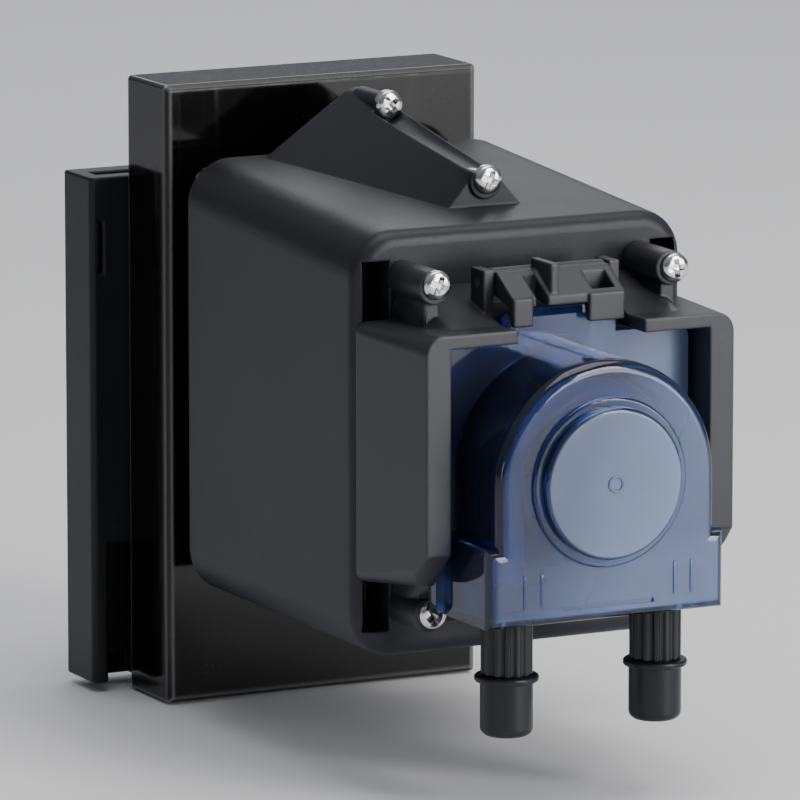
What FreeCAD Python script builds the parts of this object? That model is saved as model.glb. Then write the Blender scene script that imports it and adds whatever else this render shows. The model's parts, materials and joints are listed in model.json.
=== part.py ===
import FreeCAD, Part
import math
import os

# Peristaltic dosing pump that slides onto a wall bracket.
# Millimetres, +Z up. The wall is the plane Y = 0 and the pump faces -Y.
# The drive shaft turns about the Y axis through X = 0, Z = 0.

# ---- clearances -------------------------------------------------------------
run_gap = 0.05        # radial, a shaft in its bush
screw_gap = 0.05      # radial, a screw in its hole
seat_gap = 0.1        # pieces that drop into each other
slide_gap = 0.3       # bodies that slide past each other
head_gap = 0.4        # round a screw head that is sunk into a bore
skin_gap = 0.4        # the cover round the tube track

# ---- wall bracket -----------------------------------------------------------
bracket_width = 113.6
bracket_height = 137.0
bracket_bottom = -82.0
bracket_depth = 17.2
bracket_base = 7.0
rail_wall = 4.5
rail_round = 1.5
lip_thick = 5.5
lip_reach = 10.0
lip_drop = 38.0       # the lips stop this far above the bracket's foot
ledge_height = 6.0
wall_hole_r = 2.6
wall_hole_dx = 76.0
wall_hole_dz = 100.0
rail_slot_inset = 1.5     # long slots in the front edges of the rails
rail_slot_width = 2.0
rail_slot_depth = 3.0
rail_slot_length = 14.0
rail_slot_drop = 12.0

# ---- mounting plate ---------------------------------------------------------
plate_width = 92.0
plate_thick = 23.5
plate_bottom = -84.0
plate_top = 82.0
plate_wall = 3.5
plate_face = 4.5
plate_bevel = 1.4
plate_edge_round = 1.2
plate_pillar_r = 4.6
slide_lid = 3.0       # lid of the slide plate inside the mounting plate
slide_screw_x = 33.0
slide_screw_bottom_z = -60.0
slide_screw_top_z = 40.0
slide_screw_length = 20.0
slide_head_sink = 0.6     # the heads lie this far below the tongue's back
slide_tongue_top = 50.0

# ---- back cover, between the plate and the housing --------------------------
neck_half_width = 37.0
neck_bottom = -40.0
neck_top = 48.0
neck_length = 13.6
neck_wall = 3.0
neck_corner = 8.0
cover_flange = 2.4
gasket_thick = 0.6
flange_inset = 1.3
plate_screw_x = 27.0
plate_screw_length = 7.5

# ---- housing ----------------------------------------------------------------
housing_half_width = 47.5
housing_draft = 0.5   # the front is this much narrower on each side
housing_bottom = -50.5
housing_top = 64.7
housing_top_front = 58.8
housing_length = 96.0
housing_wall = 3.0
housing_corner = 12.0
housing_front_round = 4.0
well_width = 7.3
well_height = 18.0
well_depth = 13.0
well_wall = 2.2
well_skin = 2.4       # left between a well and the housing's side
well_inset = 7.2      # from a well to the housing's top or bottom
shaft_hole_r = 15.0
pillar_inset = 4.0    # from the inside of the wall to a screw's axis
pillar_r = 4.2
pillar_length = 18.0
cover_screw_length = 14.0
front_pillar_length = 13.0
front_screw_grip = 10.0   # length of a bezel screw inside the housing

# ---- hump on top of the housing ---------------------------------------------
hump_half_base = 24.7
hump_half_base_front = 8.5
hump_peak = 81.6
hump_peak_front = 69.5
hump_start = 4.0      # ahead of the housing's rear edge
hump_round = 7.0
hump_round_front = 4.5
hump_sink = 8.0       # depth that the hump's body reaches below the top
hump_hollow_drop = 1.9    # drop of the inner gable, in wall thicknesses
hump_hollow_end = 26.0    # solid length at the front
groove_clear = 0.65   # round the head of the rear ridge screw
groove_lift = 0.3
groove_rise = 5.6     # of the groove's axis over the front screw
groove_run_out = 16.0
groove_mouth = 8.0
ridge_screw_rear = 20.5   # ahead of the housing's rear edge
ridge_screw_front = 77.0
ridge_screw_rear_z = 78.6
ridge_screw_front_z = 66.4
rear_boss_r = 3.4
ridge_boss_length = 14.0
ridge_screw_length = 9.5

# ---- front bezel, the frame round the pump head -----------------------------
bezel_length = 33.0
bezel_half_width = 43.6
bezel_top = 37.5
bezel_bottom = -26.0
bezel_corner = 5.0
bezel_rear_bottom = -30.0
bezel_rear_top = 36.8
bezel_rear_corner = 3.0
bezel_rear_inset = 0.2
core_half_width = 36.6
core_top = 44.5
core_bottom = -42.5
core_setback = 6.0
core_taper = 1.0
core_wall = 7.6
window_half_width = 36.7
window_top = 34.0
window_depth = 14.4
bezel_floor = 2.6
notch_half_width = 18.0
boss_r = 4.4
boss_x = 33.6
boss_top_z = 47.2
boss_bottom_z = -37.0
boss_top_length = 18.0
boss_bottom_length = 15.0
boss_web = 4.0
web_setback = 2.0         # web stops this far behind a screw head
bush_wall = 3.5
bush_boss = 7.0
foot_slant = 9.0      # slanted feet of the bezel's side walls

# ---- screws -----------------------------------------------------------------
head_r = 3.75
head_height = 2.6
shank_r = 2.0
recess_width = 1.1
recess_span = 4.4
recess_depth = 1.5
head_round = 1.2

# ---- motor and gear train ---------------------------------------------------
motor_r = 26.0
motor_length = 52.0
motor_wall = 1.6
motor_cap = 4.0
motor_shaft_r = 2.5
stator_in_r = 15.2
armature_r = 14.6
armature_length = 36.0
gear_module = 0.8
pinion_teeth = 12
wheel_teeth = 48
pressure_deg = 20.0
pinion_addendum = 0.9     # in modules
wheel_addendum = 0.75
dedendum = 1.25
tooth_thinning = 0.06
wheel_width = 5.0
pinion_width = 7.0
gear_plate = 2.5
gear_half_width = 28.5
gear_plate_bottom = -27.0
gear_plate_top = 50.0
gear_box_depth = 19.5     # between the two plates
standoff_r = 3.2
standoff_x = 25.0
standoff_bottom_z = -21.0
standoff_top_z = 44.0
shaft_r = 4.0
counter_shaft_r = 2.5
motor_bore_gap = 1.0
slot_count = 8
slot_r = 1.4
slot_inset = 0.6
bush_r = 6.2
plate_screw_r = 1.5

# ---- control board ----------------------------------------------------------
board_length = 52.0
board_height = 58.0
board_thick = 1.6
board_standoff = 4.0
board_corner = 4.0
spacer_r = 2.0
board_hole_r = 1.3
board_setback = 24.0      # ahead of the housing's rear edge
board_drop = 4.0
terminal_count = 4
terminal_pitch = 6.1
terminal_hole_r = 1.9
terminal_size = (7.0, 26.0, 10.0)

# ---- pump head --------------------------------------------------------------
tube_r = 4.0
tube_bore_r = 2.5
loop_r = 21.2             # centreline of the tube, and half the port spacing
rotor_lead = 0.2          # the tube loop's plane is this far ahead of the bezel's front
roller_gap = 0.5          # between a roller and the inner side of the tube
roller_length = 12.0
roller_count = 3
pin_r = 1.5
carrier_gap = 1.8         # between a carrier disc and the inner side of the tube
carrier_thick = 3.0
track_wall = 2.7
track_gap = 0.2           # between the tube's outside and the track
base_thick = 1.8
saddle_height = 7.0
hub_screw_r = 5.2
hub_screw_height = 2.8
hub_screw_length = 10.0
hub_slot_width = 1.4
hub_wall = 2.5
roller_round = 0.8

# ---- pump head cover --------------------------------------------------------
cover_wall = 2.2
cover_flange_thick = 2.5
drum_reach = 14.2         # from the tube loop's plane to the drum's face
cover_shoulder = -15.0    # where the drum meets the wider foot
cover_bottom = -35.2
cover_foot_half_width = 33.5
cover_round = 3.0
tongue_half_width = 16.5
tongue_top = 40.3
tongue_corner = 2.5
tongue_bevel = 1.6
cover_edge_gap = 0.8
ring_r = 21.6
ring_height = 1.2
ring_round = 0.8
disc_r = 19.3
disc_height = 3.8
disc_round = 1.2
line_half_width = 13.0    # shallow line across the foot
line_above = 3.4
line_height = 1.2
line_depth = 0.7

# ---- latch ------------------------------------------------------------------
latch_pin_r = 1.3
latch_pivot_z = 47.0
latch_pivot_ahead = 9.5   # behind the cover's tongue
latch_thick = 2.4
latch_hook = 3.4
latch_hooks = ((-16.0, -10.5), (5.5, 15.5))
latch_arm_half_width = 16.0
latch_gap = 0.6
latch_ear = 3.0
latch_ear_rear = 4.0      # behind the pivot
latch_ear_front = 3.4
latch_ear_rise = 3.2
latch_ear_foot = 9.0
latch_sweep = 5.5         # room behind the pivot for the turning lever
latch_barrel = 1.9        # wall round the pin
latch_arm_rise = 2.6
latch_lip = 2.6
latch_under = 1.4         # from the cover's tongue up to the lever
latch_frame = 1.8         # width left round the arched opening
latch_cut = 3.4
latch_rib = 2.2
latch_rib_rise = 5.2

# ---- ports ------------------------------------------------------------------
neck_r = 4.5
barb_length = 9.0
port_bore_r = 1.6
rib_body_r = 6.6
rib_body_length = 13.8
rib_count = 14
rib_groove = 0.9
rib_orbit = 6.8       # of the grooves' axes
rib_collar = 1.2
spigot_bore_r = 2.5
nut_flange_round = 0.6
spigot_length = 2.4
spigot_r = 5.6
nut_flange_r = 8.15
nut_flange = 1.7
nut_r = 6.7
nut_length = 15.6
nut_round = 2.2
hose_r = 4.85
hose_depth = 12.0

# ---- cable gland ------------------------------------------------------------
gland_y = 20.0            # ahead of the housing's rear edge
gland_z = -30.0
gland_thread_r = 6.0
gland_hex_r = 9.5
gland_hex = 5.0
gland_dome_r = 8.0
gland_dome = 11.0
gland_dome_round = 3.0
gland_thread_in = 6.0     # length inside the housing's wall
gland_nut_thick = 3.8
gland_grip_count = 12
gland_grip_r = 0.8
gland_grip_length = 6.0
cable_r = 3.4

# ---- stations, all worked out from the sizes above --------------------------
housing_half_width_front = housing_half_width - housing_draft
plate_rear = -(bracket_depth + slide_gap)
plate_front = plate_rear - plate_thick
neck_front = plate_front - neck_length
flange_front = neck_front - cover_flange
housing_rear = flange_front - gasket_thick
housing_front = housing_rear - housing_length
bezel_rear = housing_front
bezel_front = bezel_rear - bezel_length
floor_front = bezel_front + window_depth
floor_rear = floor_front + bezel_floor
base_front = floor_front - base_thick
flange_rear_y = base_front - seat_gap
cover_flange_front = flange_rear_y - cover_flange_thick
head_y = bezel_front - rotor_lead
drum_front = head_y - drum_reach
hump_length = ridge_screw_front - hump_start - 1.0
gear_front_outer = housing_front + housing_wall + 7.0
gear_front_inner = gear_front_outer + gear_plate
gear_rear_inner = gear_front_inner + gear_box_depth
gear_rear_outer = gear_rear_inner + gear_plate
motor_rear = gear_rear_outer + motor_length
counter_z = gear_module * (pinion_teeth + wheel_teeth) / 2
wheel1_rear = gear_rear_inner - 2.0
wheel2_rear = gear_rear_inner - 11.0
tube_inside = loop_r - tube_r
roller_r = (tube_inside - roller_gap - shaft_r - slide_gap) / 2
roller_orbit = tube_inside - roller_gap - roller_r
carrier_r = tube_inside - carrier_gap
groove_r = head_r + groove_clear
plate_screw_z = slide_screw_top_z - math.sqrt((plate_pillar_r + head_r + slide_gap) ** 2
                                              - (slide_screw_x - plate_screw_x) ** 2)
V = FreeCAD.Vector
Y_AXIS = V(0, 1, 0)


# ---- building blocks --------------------------------------------------------
def box(x0, x1, y0, y1, z0, z1):
    """A block between two corners, in any order."""
    low = V(min(x0, x1), min(y0, y1), min(z0, z1))
    return Part.makeBox(abs(x1 - x0), abs(y1 - y0), abs(z1 - z0), low)


def rod_y(r, y0, y1, x=0.0, z=0.0):
    """A cylinder along Y."""
    return Part.makeCylinder(r, abs(y1 - y0), V(x, min(y0, y1), z), Y_AXIS)


def rod_x(r, x0, x1, y, z):
    """A cylinder along X."""
    return Part.makeCylinder(r, abs(x1 - x0), V(min(x0, x1), y, z), V(1, 0, 0))


def rod_z(r, z0, z1, x, y):
    """A cylinder along Z."""
    return Part.makeCylinder(r, abs(z1 - z0), V(x, y, min(z0, z1)), V(0, 0, 1))


def rounded_outline(half_width, z0, z1, r, y):
    """A closed rounded rectangle in the plane at y."""
    s = r * (1 - math.sqrt(0.5))
    x = half_width
    corners = [((x - r, z0), (x - s, z0 + s), (x, z0 + r)), ((x, z1 - r), (x - s, z1 - s), (x - r, z1)),
               ((-x + r, z1), (-x + s, z1 - s), (-x, z1 - r)), ((-x, z0 + r), (-x + s, z0 + s), (-x + r, z0))]
    edges = []
    for i, corner in enumerate(corners):
        a, b, c = [V(px, y, pz) for px, pz in corner]
        edges.append(Part.Arc(a, b, c).toShape())
        start = corners[(i + 1) % 4][0]
        edges.append(Part.makeLine(c, V(start[0], y, start[1])))
    return Part.Wire(edges)


def rounded_block(half_width, z0, z1, r, y0, y1):
    """A rounded rectangle extruded from y0 to y1."""
    face = Part.Face(rounded_outline(half_width, z0, z1, r, y0))
    return face.extrude(V(0, y1 - y0, 0))


def prism_y(points, y0, y1):
    """A polygon of (x, z) points extruded along Y."""
    wire = Part.makePolygon([V(x, y0, z) for x, z in points + points[:1]])
    return Part.Face(wire).extrude(V(0, y1 - y0, 0))


def prism_x(points, x0, x1):
    """A polygon of (y, z) points extruded along X."""
    wire = Part.makePolygon([V(x0, y, z) for y, z in points + points[:1]])
    return Part.Face(wire).extrude(V(x1 - x0, 0, 0))


def edges_in_plane(shape, y):
    """The edges that lie wholly in the plane at y."""
    return [e for e in shape.Edges if all(abs(v.Y - y) < 0.01 for v in e.Vertexes)]


def four(dx, z0, z1):
    """The four corners of a screw pattern, as (x, z)."""
    return [(x, z) for x in (-dx, dx) for z in (z0, z1)]


def screw(x, z, seat, length, facing=-1):
    """A pan-head screw along Y. seat is where the head's underside rests; facing -1 looks forward."""
    tip = seat - facing * length
    top = seat + facing * head_height
    head = rod_y(head_r, seat, top, x, z)
    head = head.makeFillet(head_round, edges_in_plane(head, top))
    body = head.fuse(rod_y(shank_r, seat, tip, x, z))
    floor = top - facing * recess_depth
    half = recess_span / 2
    for dx, dz in ((half, recess_width / 2), (recess_width / 2, half)):
        body = body.cut(box(x - dx, x + dx, floor, top + facing, z - dz, z + dz))
    return body.removeSplitter()


def screw_hole(x, z, seat, length, facing=-1):
    """The hole that a screw of the same seat and length passes through."""
    return rod_y(shank_r + screw_gap, seat + facing * 0.5, seat - facing * (length + 0.5), x, z)


# ---- wall bracket and mounting plate ----------------------------------------
def wall_bracket():
    """Base against the wall, two lipped rails open at the top, and a ledge at the foot."""
    half = bracket_width / 2
    top = bracket_bottom + bracket_height
    base = box(-half + rail_round, half - rail_round, 0, -bracket_base, bracket_bottom, top)
    for side in (-1, 1):
        inner = side * (half - rail_wall)
        rail = box(side * half, inner, 0, -bracket_depth, bracket_bottom, top)
        outer = [e for e in edges_in_plane(rail, -bracket_depth) if abs(abs(e.CenterOfMass.x) - half) < 0.01]
        base = base.fuse(rail.makeFillet(rail_round, outer))
        lip_rear = -(bracket_depth - lip_thick)
        reach = side * (half - rail_wall - lip_reach)
        base = base.fuse(box(inner + side, reach, lip_rear, -bracket_depth, bracket_bottom + lip_drop, top))
    ledge_half = half - rail_wall - lip_reach
    ledge_top = bracket_bottom + ledge_height
    base = base.fuse(box(-ledge_half, ledge_half, 0, -bracket_depth, bracket_bottom, ledge_top))
    mid = bracket_bottom + bracket_height / 2
    for x, z in four(wall_hole_dx / 2, mid - wall_hole_dz / 2, mid + wall_hole_dz / 2):
        base = base.cut(rod_y(wall_hole_r, 1, -bracket_base - 1, x, z))
    for side in (-1, 1):
        outer = side * (half - rail_slot_inset)
        slot_top = top - rail_slot_drop
        base = base.cut(box(outer, outer - side * rail_slot_width, -bracket_depth - 1,
                            -bracket_depth + rail_slot_depth, slot_top, slot_top - rail_slot_length))
    return base.removeSplitter()


def slide_plate():
    """T-shaped tongue that drops into the rails, with a lid that closes the mounting plate."""
    wide = bracket_width / 2 - rail_wall - slide_gap
    narrow = wide - lip_reach
    foot = bracket_bottom + ledge_height + slide_gap
    rear = -(bracket_base + slide_gap)
    lip_rear = -(bracket_depth - lip_thick - slide_gap)
    tongue = box(-wide, wide, rear, lip_rear, foot, slide_tongue_top)
    tongue = tongue.fuse(box(-narrow, narrow, rear, plate_rear, foot, slide_tongue_top))
    lid_half = plate_width / 2 - plate_wall - seat_gap
    lid = box(-lid_half, lid_half, plate_rear, plate_rear - slide_lid,
              plate_bottom + plate_wall + seat_gap, plate_top - plate_wall - seat_gap)
    body = tongue.fuse(lid)
    for x, z in slide_screw_places():
        body = body.cut(rod_y(head_r + head_gap, rear + 1, slide_screw_seat(), x, z))
        body = body.cut(screw_hole(x, z, slide_screw_seat(), slide_screw_length, 1))
    return body.removeSplitter()


def slide_screw_places():
    """The slide plate's four screws as (x, z)."""
    return four(slide_screw_x, slide_screw_bottom_z, slide_screw_top_z)


def slide_screw_seat():
    """Where the heads of the slide plate's screws rest."""
    return -(bracket_base + slide_gap + head_height + slide_head_sink)


def slide_plate_screws():
    """Four screws from the rear through the slide plate."""
    return [screw(x, z, slide_screw_seat(), slide_screw_length, 1) for x, z in slide_screw_places()]


def mounting_plate():
    """Thick glossy plate: a tray open to the rear, with screw pillars inside."""
    half = plate_width / 2
    body = box(-half, half, plate_rear, plate_front, plate_bottom, plate_top)
    body = body.makeChamfer(plate_bevel, edges_in_plane(body, plate_front))
    side_length = plate_thick - plate_bevel
    along_y = [e for e in body.Edges if abs(abs(e.CenterOfMass.x) - half) < 0.01
               and abs(e.Length - side_length) < 0.01]
    body = body.makeFillet(plate_edge_round, along_y)
    inside = plate_front + plate_face
    body = body.cut(box(-half + plate_wall, half - plate_wall, plate_rear + 1, inside,
                        plate_bottom + plate_wall, plate_top - plate_wall))
    for x, z in slide_screw_places():
        body = body.fuse(rod_y(plate_pillar_r, plate_rear - slide_lid, inside - 0.5, x, z))
        body = body.cut(screw_hole(x, z, slide_screw_seat(), slide_screw_length, 1))
    for x, z in four(plate_screw_x, -plate_screw_z, plate_screw_z):
        body = body.cut(screw_hole(x, z, inside, plate_screw_length + 1, 1))
    return body.removeSplitter()


def plate_screws():
    """Four screws from inside the mounting plate into the back cover."""
    inside = plate_front + plate_face
    places = four(plate_screw_x, -plate_screw_z, plate_screw_z)
    return [screw(x, z, inside, plate_screw_length, 1) for x, z in places]


# ---- back cover and housing -------------------------------------------------
def back_cover():
    """Neck that stands the housing off the plate, with the flange that closes the housing."""
    neck = rounded_block(neck_half_width, neck_bottom, neck_top, neck_corner, plate_front, neck_front)
    half = housing_half_width - flange_inset
    lid = rounded_block(half, housing_bottom + flange_inset, housing_top - flange_inset,
                        housing_corner - flange_inset, neck_front, flange_front)
    body = neck.fuse(lid)
    w = neck_wall
    inner = rounded_block(neck_half_width - w, neck_bottom + w, neck_top - w, neck_corner - w,
                          plate_front - w, flange_front - 1)
    body = body.cut(inner)
    for x, z in four(plate_screw_x, -plate_screw_z, plate_screw_z):
        body = body.cut(screw_hole(x, z, plate_front + plate_face, plate_screw_length, 1))
    for x, z in cover_screw_places():
        body = body.cut(rod_y(shank_r + screw_gap, neck_front + 1, flange_front - 1, x, z))
    return body.removeSplitter()


def cover_screw_places():
    """Where the four screws hold the back cover to the housing."""
    inset = housing_wall + pillar_inset
    x = housing_half_width - inset
    return four(x, housing_bottom + inset, housing_top - inset)


def cover_screws():
    """Four screws from the rear through the back cover's flange."""
    return [screw(x, z, neck_front, cover_screw_length, 1) for x, z in cover_screw_places()]


def housing_gasket():
    """Flat seal between the back cover and the housing."""
    outer_half = housing_half_width - flange_inset
    ring = rounded_block(outer_half, housing_bottom + flange_inset, housing_top - flange_inset,
                         housing_corner - flange_inset, flange_front, housing_rear)
    w = housing_wall
    hole = rounded_block(housing_half_width - w, housing_bottom + w, housing_top - w,
                         housing_corner - w, flange_front + 1, housing_rear - 1)
    ring = ring.cut(hole)
    for x, z in cover_screw_places():
        ring = ring.cut(rod_y(shank_r + screw_gap, flange_front + 1, housing_rear - 1, x, z))
    return ring


def housing_shape(inset, front_inset):
    """The drafted body of the housing, shrunk by inset all round."""
    w = inset
    rear = rounded_outline(housing_half_width - w, housing_bottom + w, housing_top - w,
                           housing_corner - w, housing_rear)
    front = rounded_outline(housing_half_width_front - w, housing_bottom + w, housing_top_front - w,
                            housing_corner - w, housing_front + front_inset)
    return Part.makeLoft([rear, front], True, True)


def hump_outline(half_base, base, peak, r, foot, y):
    """A gable with a rounded crest, half_base wide at the height base and carried down to foot."""
    rise = math.atan2(peak - base, half_base)
    centre_z = peak - r
    touch = (r * math.sin(rise), centre_z + r * math.cos(rise))
    base_half = touch[0] + (touch[1] - foot) / math.tan(rise)
    left_foot = V(-base_half, y, foot)
    left_touch = V(-touch[0], y, touch[1])
    right_touch = V(touch[0], y, touch[1])
    right_foot = V(base_half, y, foot)
    crest = Part.Arc(left_touch, V(0, y, peak), right_touch).toShape()
    return Part.Wire([Part.makeLine(left_foot, left_touch), crest,
                      Part.makeLine(right_touch, right_foot), Part.makeLine(right_foot, left_foot)])


def hump(inset, length):
    """The gabled hump, highest at the rear and falling to the front boss."""
    start = housing_rear - hump_start - inset
    foot = housing_top_front - hump_sink
    drop = hump_hollow_drop * inset
    rear = hump_outline(hump_half_base, housing_top - drop, hump_peak - drop, hump_round, foot, start)
    front = hump_outline(hump_half_base_front, housing_top_front + 1 - drop, hump_peak_front - drop,
                         hump_round_front, foot, start - length)
    return Part.makeLoft([rear, front], True, True)


def ridge_screw_places():
    """The two screws on the hump as (seat y, z)."""
    return [(housing_rear - ridge_screw_rear, ridge_screw_rear_z),
            (housing_rear - ridge_screw_front, ridge_screw_front_z)]


def well_boxes(grow):
    """Four pockets in the front corners of the housing, with thin outer walls."""
    boxes = []
    for side in (-1, 1):
        outer = side * (housing_half_width_front - well_skin + 3 * grow)
        inner = side * (housing_half_width_front - well_skin - well_width - grow)
        rear = housing_front + well_depth + grow
        top = housing_top_front - well_inset
        low = housing_bottom + well_inset
        boxes.append(box(outer, inner, housing_front - 1, rear, top + 3 * grow, top - well_height - grow))
        boxes.append(box(outer, inner, housing_front - 1, rear, low - 3 * grow, low + well_height + grow))
    return boxes


def housing():
    """Drafted moulded case, open at the rear, with the hump, corner wells and inner pillars."""
    body = housing_shape(0.0, 0.0)
    body = body.makeFillet(housing_front_round, edges_in_plane(body, housing_front))
    body = body.fuse(hump(0.0, hump_length))
    front_seat, front_z = ridge_screw_places()[1]
    rear_seat, rear_z = ridge_screw_places()[0]
    body = body.fuse(rod_y(boss_r, front_seat, front_seat + ridge_boss_length, 0, front_z))
    body = body.fuse(rod_y(rear_boss_r, rear_seat, rear_seat + ridge_boss_length, 0, rear_z))
    start = V(0, rear_seat, rear_z + groove_lift)
    run = V(0, front_seat, front_z + groove_rise) - start
    body = body.cut(Part.makeCylinder(groove_r, run.Length + groove_run_out, start, run))
    body = body.cut(rod_y(groove_r, rear_seat, rear_seat - groove_mouth, 0, rear_z + groove_lift))
    cavity = housing_shape(housing_wall, housing_wall)
    half = neck_half_width
    mouth = box(-half, half, housing_rear + 1, housing_rear - 0.5, neck_bottom, neck_top)
    cavity = cavity.fuse(mouth)
    cavity = cavity.fuse(hump(housing_wall, hump_length - hump_hollow_end))
    for well in well_boxes(well_wall):
        cavity = cavity.cut(well)
    for x, z in cover_screw_places():
        cavity = cavity.cut(rod_y(pillar_r, housing_rear, housing_rear - pillar_length, x, z))
    for x, z in front_boss_places():
        cavity = cavity.cut(rod_y(boss_r, housing_front, housing_front + front_pillar_length, x, z))
    body = body.cut(cavity)
    for well in well_boxes(0.0):
        body = body.cut(well)
    body = body.cut(rod_y(shaft_hole_r, housing_front - 1, housing_front + housing_wall + 1))
    for x, z in cover_screw_places():
        body = body.cut(screw_hole(x, z, neck_front, cover_screw_length, 1))
    for x, z in front_boss_places():
        body = body.cut(screw_hole(x, z, housing_front, front_screw_grip))
    for seat, z in ridge_screw_places():
        body = body.cut(screw_hole(0, z, seat, ridge_screw_length))
    side = housing_half_width
    body = body.cut(rod_x(gland_thread_r + seat_gap, side - 2 * housing_wall, side + 1,
                          housing_rear - gland_y, gland_z))
    return body.removeSplitter()


def ridge_screws():
    """The two screws on the hump, facing forward."""
    return [screw(0, z, seat, ridge_screw_length) for seat, z in ridge_screw_places()]


def front_boss_places():
    """The bezel's four screws as (x, z)."""
    return four(boss_x, boss_bottom_z, boss_top_z)


def boss_length(z):
    """How far a bezel boss at height z stands off the housing."""
    return boss_top_length if z > 0 else boss_bottom_length


def bezel_screws():
    """Four long screws through the bezel's bosses into the housing."""
    return [screw(x, z, bezel_rear - boss_length(z), boss_length(z) + front_screw_grip)
            for x, z in front_boss_places()]


# ---- front bezel ------------------------------------------------------------
def front_bezel():
    """Frame round the pump head: open at the bottom, notched at the top for the latch."""
    rear_half = housing_half_width_front - bezel_rear_inset
    side_rear = rounded_outline(rear_half, bezel_rear_bottom, bezel_rear_top, bezel_rear_corner, bezel_rear)
    side_front = rounded_outline(bezel_half_width, bezel_bottom, bezel_top, bezel_corner, bezel_front)
    body = Part.makeLoft([side_rear, side_front], True, True)
    core_rear = rounded_outline(core_half_width, core_bottom, core_top, bezel_corner, bezel_rear)
    core_front = rounded_outline(core_half_width - core_taper, bezel_bottom + core_taper,
                                 bezel_top - core_taper, bezel_corner, bezel_front + core_setback)
    body = body.fuse(Part.makeLoft([core_rear, core_front], True, True))
    for x, z in front_boss_places():
        body = body.fuse(rod_y(boss_r, bezel_rear, bezel_rear - boss_length(z), x, z))
        web_front = bezel_rear - boss_length(z) + web_setback
        body = body.fuse(box(x - boss_web / 2, x + boss_web / 2, bezel_rear, web_front, z, z * 0.75))
    body = body.cut(window())
    body = body.cut(rounded_block(core_half_width - core_wall, core_bottom + core_wall / 2, window_top - 2,
                                  bezel_corner, bezel_rear + 1, floor_rear))
    body = body.fuse(rod_y(bush_r + bush_wall, floor_rear + bush_boss, floor_front))
    body = body.cut(rod_y(bush_r, floor_rear + bush_boss + 1, floor_front - 1))
    for x, z in front_boss_places():
        seat = bezel_rear - boss_length(z)
        body = body.cut(screw_hole(x, z, seat, boss_length(z) + front_screw_grip))
        body = body.cut(rod_y(head_r + head_gap, seat, seat - head_height - slide_gap, x, z))
    for side in (-1, 1):
        inner = side * (latch_arm_half_width + slide_gap)
        body = body.fuse(box(inner, inner + side * latch_ear, latch_pivot_y() + latch_ear_rear,
                             latch_pivot_y() - latch_ear_front, core_top - latch_ear_foot,
                             latch_pivot_z + latch_ear_rise))
    reach = latch_arm_half_width + slide_gap + latch_ear + 1
    body = body.cut(rod_x(latch_pin_r + screw_gap, -reach, reach, latch_pivot_y(), latch_pivot_z))
    return body.removeSplitter()


def window():
    """The opening for the pump head, with the notch for the latch and slanted feet on the walls."""
    w = window_half_width
    ahead = bezel_front - 1
    below = core_bottom - 1
    above = latch_pivot_z + latch_ear_rise + 1
    opening = box(-w, w, floor_front, ahead, below, window_top)
    corner = rounded_outline(notch_half_width, window_top - 10, above, bezel_corner - 1, floor_front)
    notch = Part.Face(corner).extrude(V(0, ahead - floor_front, 0))
    clear = box(-notch_half_width, notch_half_width, latch_pivot_y() + latch_sweep, ahead,
                tongue_top + seat_gap, above)
    foot = prism_x([(ahead, bezel_bottom + foot_slant), (bezel_front + foot_slant, bezel_bottom - 1),
                    (ahead, bezel_bottom - foot_slant)], -housing_half_width, housing_half_width)
    return opening.fuse(notch).fuse(clear).fuse(foot)


def latch_pivot_y():
    """The latch turns about this line, behind the cover's tongue."""
    return cover_flange_front + latch_pivot_ahead


def latch_pin():
    """Steel pin through the bezel's two ears."""
    reach = latch_arm_half_width + slide_gap + latch_ear
    return rod_x(latch_pin_r, -reach, reach, latch_pivot_y(), latch_pivot_z)


def cover_latch():
    """Lever over the cover's tongue, with a hook at each side and a thumb rib."""
    pivot = latch_pivot_y()
    half = latch_arm_half_width
    hook_rear = cover_flange_front - latch_gap
    hook_front = hook_rear - latch_lip
    under = tongue_top + latch_under
    top = under + latch_thick
    above = latch_pivot_z + latch_rib_rise
    arm_top = latch_pivot_z + latch_arm_rise
    body = rod_x(latch_pin_r + latch_barrel, -half, half, pivot, latch_pivot_z)
    arm = prism_x([(pivot + 1, arm_top), (pivot + 1, latch_pivot_z - latch_thick), (hook_rear + 1, under),
                   (hook_front, under), (hook_front, top), (pivot - 4, arm_top)], -half, half)
    body = body.fuse(arm)
    tip = tongue_top - latch_hook
    for x0, x1 in latch_hooks:
        hook = prism_x([(hook_rear + 0.4, top), (hook_rear + 0.2, under), (hook_rear - 1.5, tip),
                        (hook_front - latch_gap, tip), (hook_front - latch_gap, top)], x0, x1)
        body = body.fuse(hook)
    opening_rear = pivot - latch_sweep
    x0, x1 = latch_hooks[1]
    body = body.cut(box(x0 + latch_frame, x1 - latch_frame, opening_rear, hook_front + 1.4, under - 3, above))
    x0 = latch_hooks[0][1] + 1.2
    body = body.cut(box(x0, x0 + latch_cut, opening_rear, hook_front - 2, under - 3, above))
    x0 = x0 + latch_cut + 1
    body = body.fuse(box(x0, x0 + latch_rib, pivot - 1, hook_front + latch_gap, under + 1, above))
    body = body.cut(rod_x(latch_pin_r + run_gap, -half - 1, half + 1, pivot, latch_pivot_z))
    return body.removeSplitter()


# ---- motor, gears and board -------------------------------------------------
def involute(base_r, r):
    """Polar angle of the involute at radius r."""
    alpha = math.acos(min(1.0, base_r / r))
    return math.tan(alpha) - alpha


def round_point(x, y, z, r, a):
    """The point at radius r and angle a round the axis through (x, z)."""
    return V(x + r * math.cos(a), y, z + r * math.sin(a))


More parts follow.
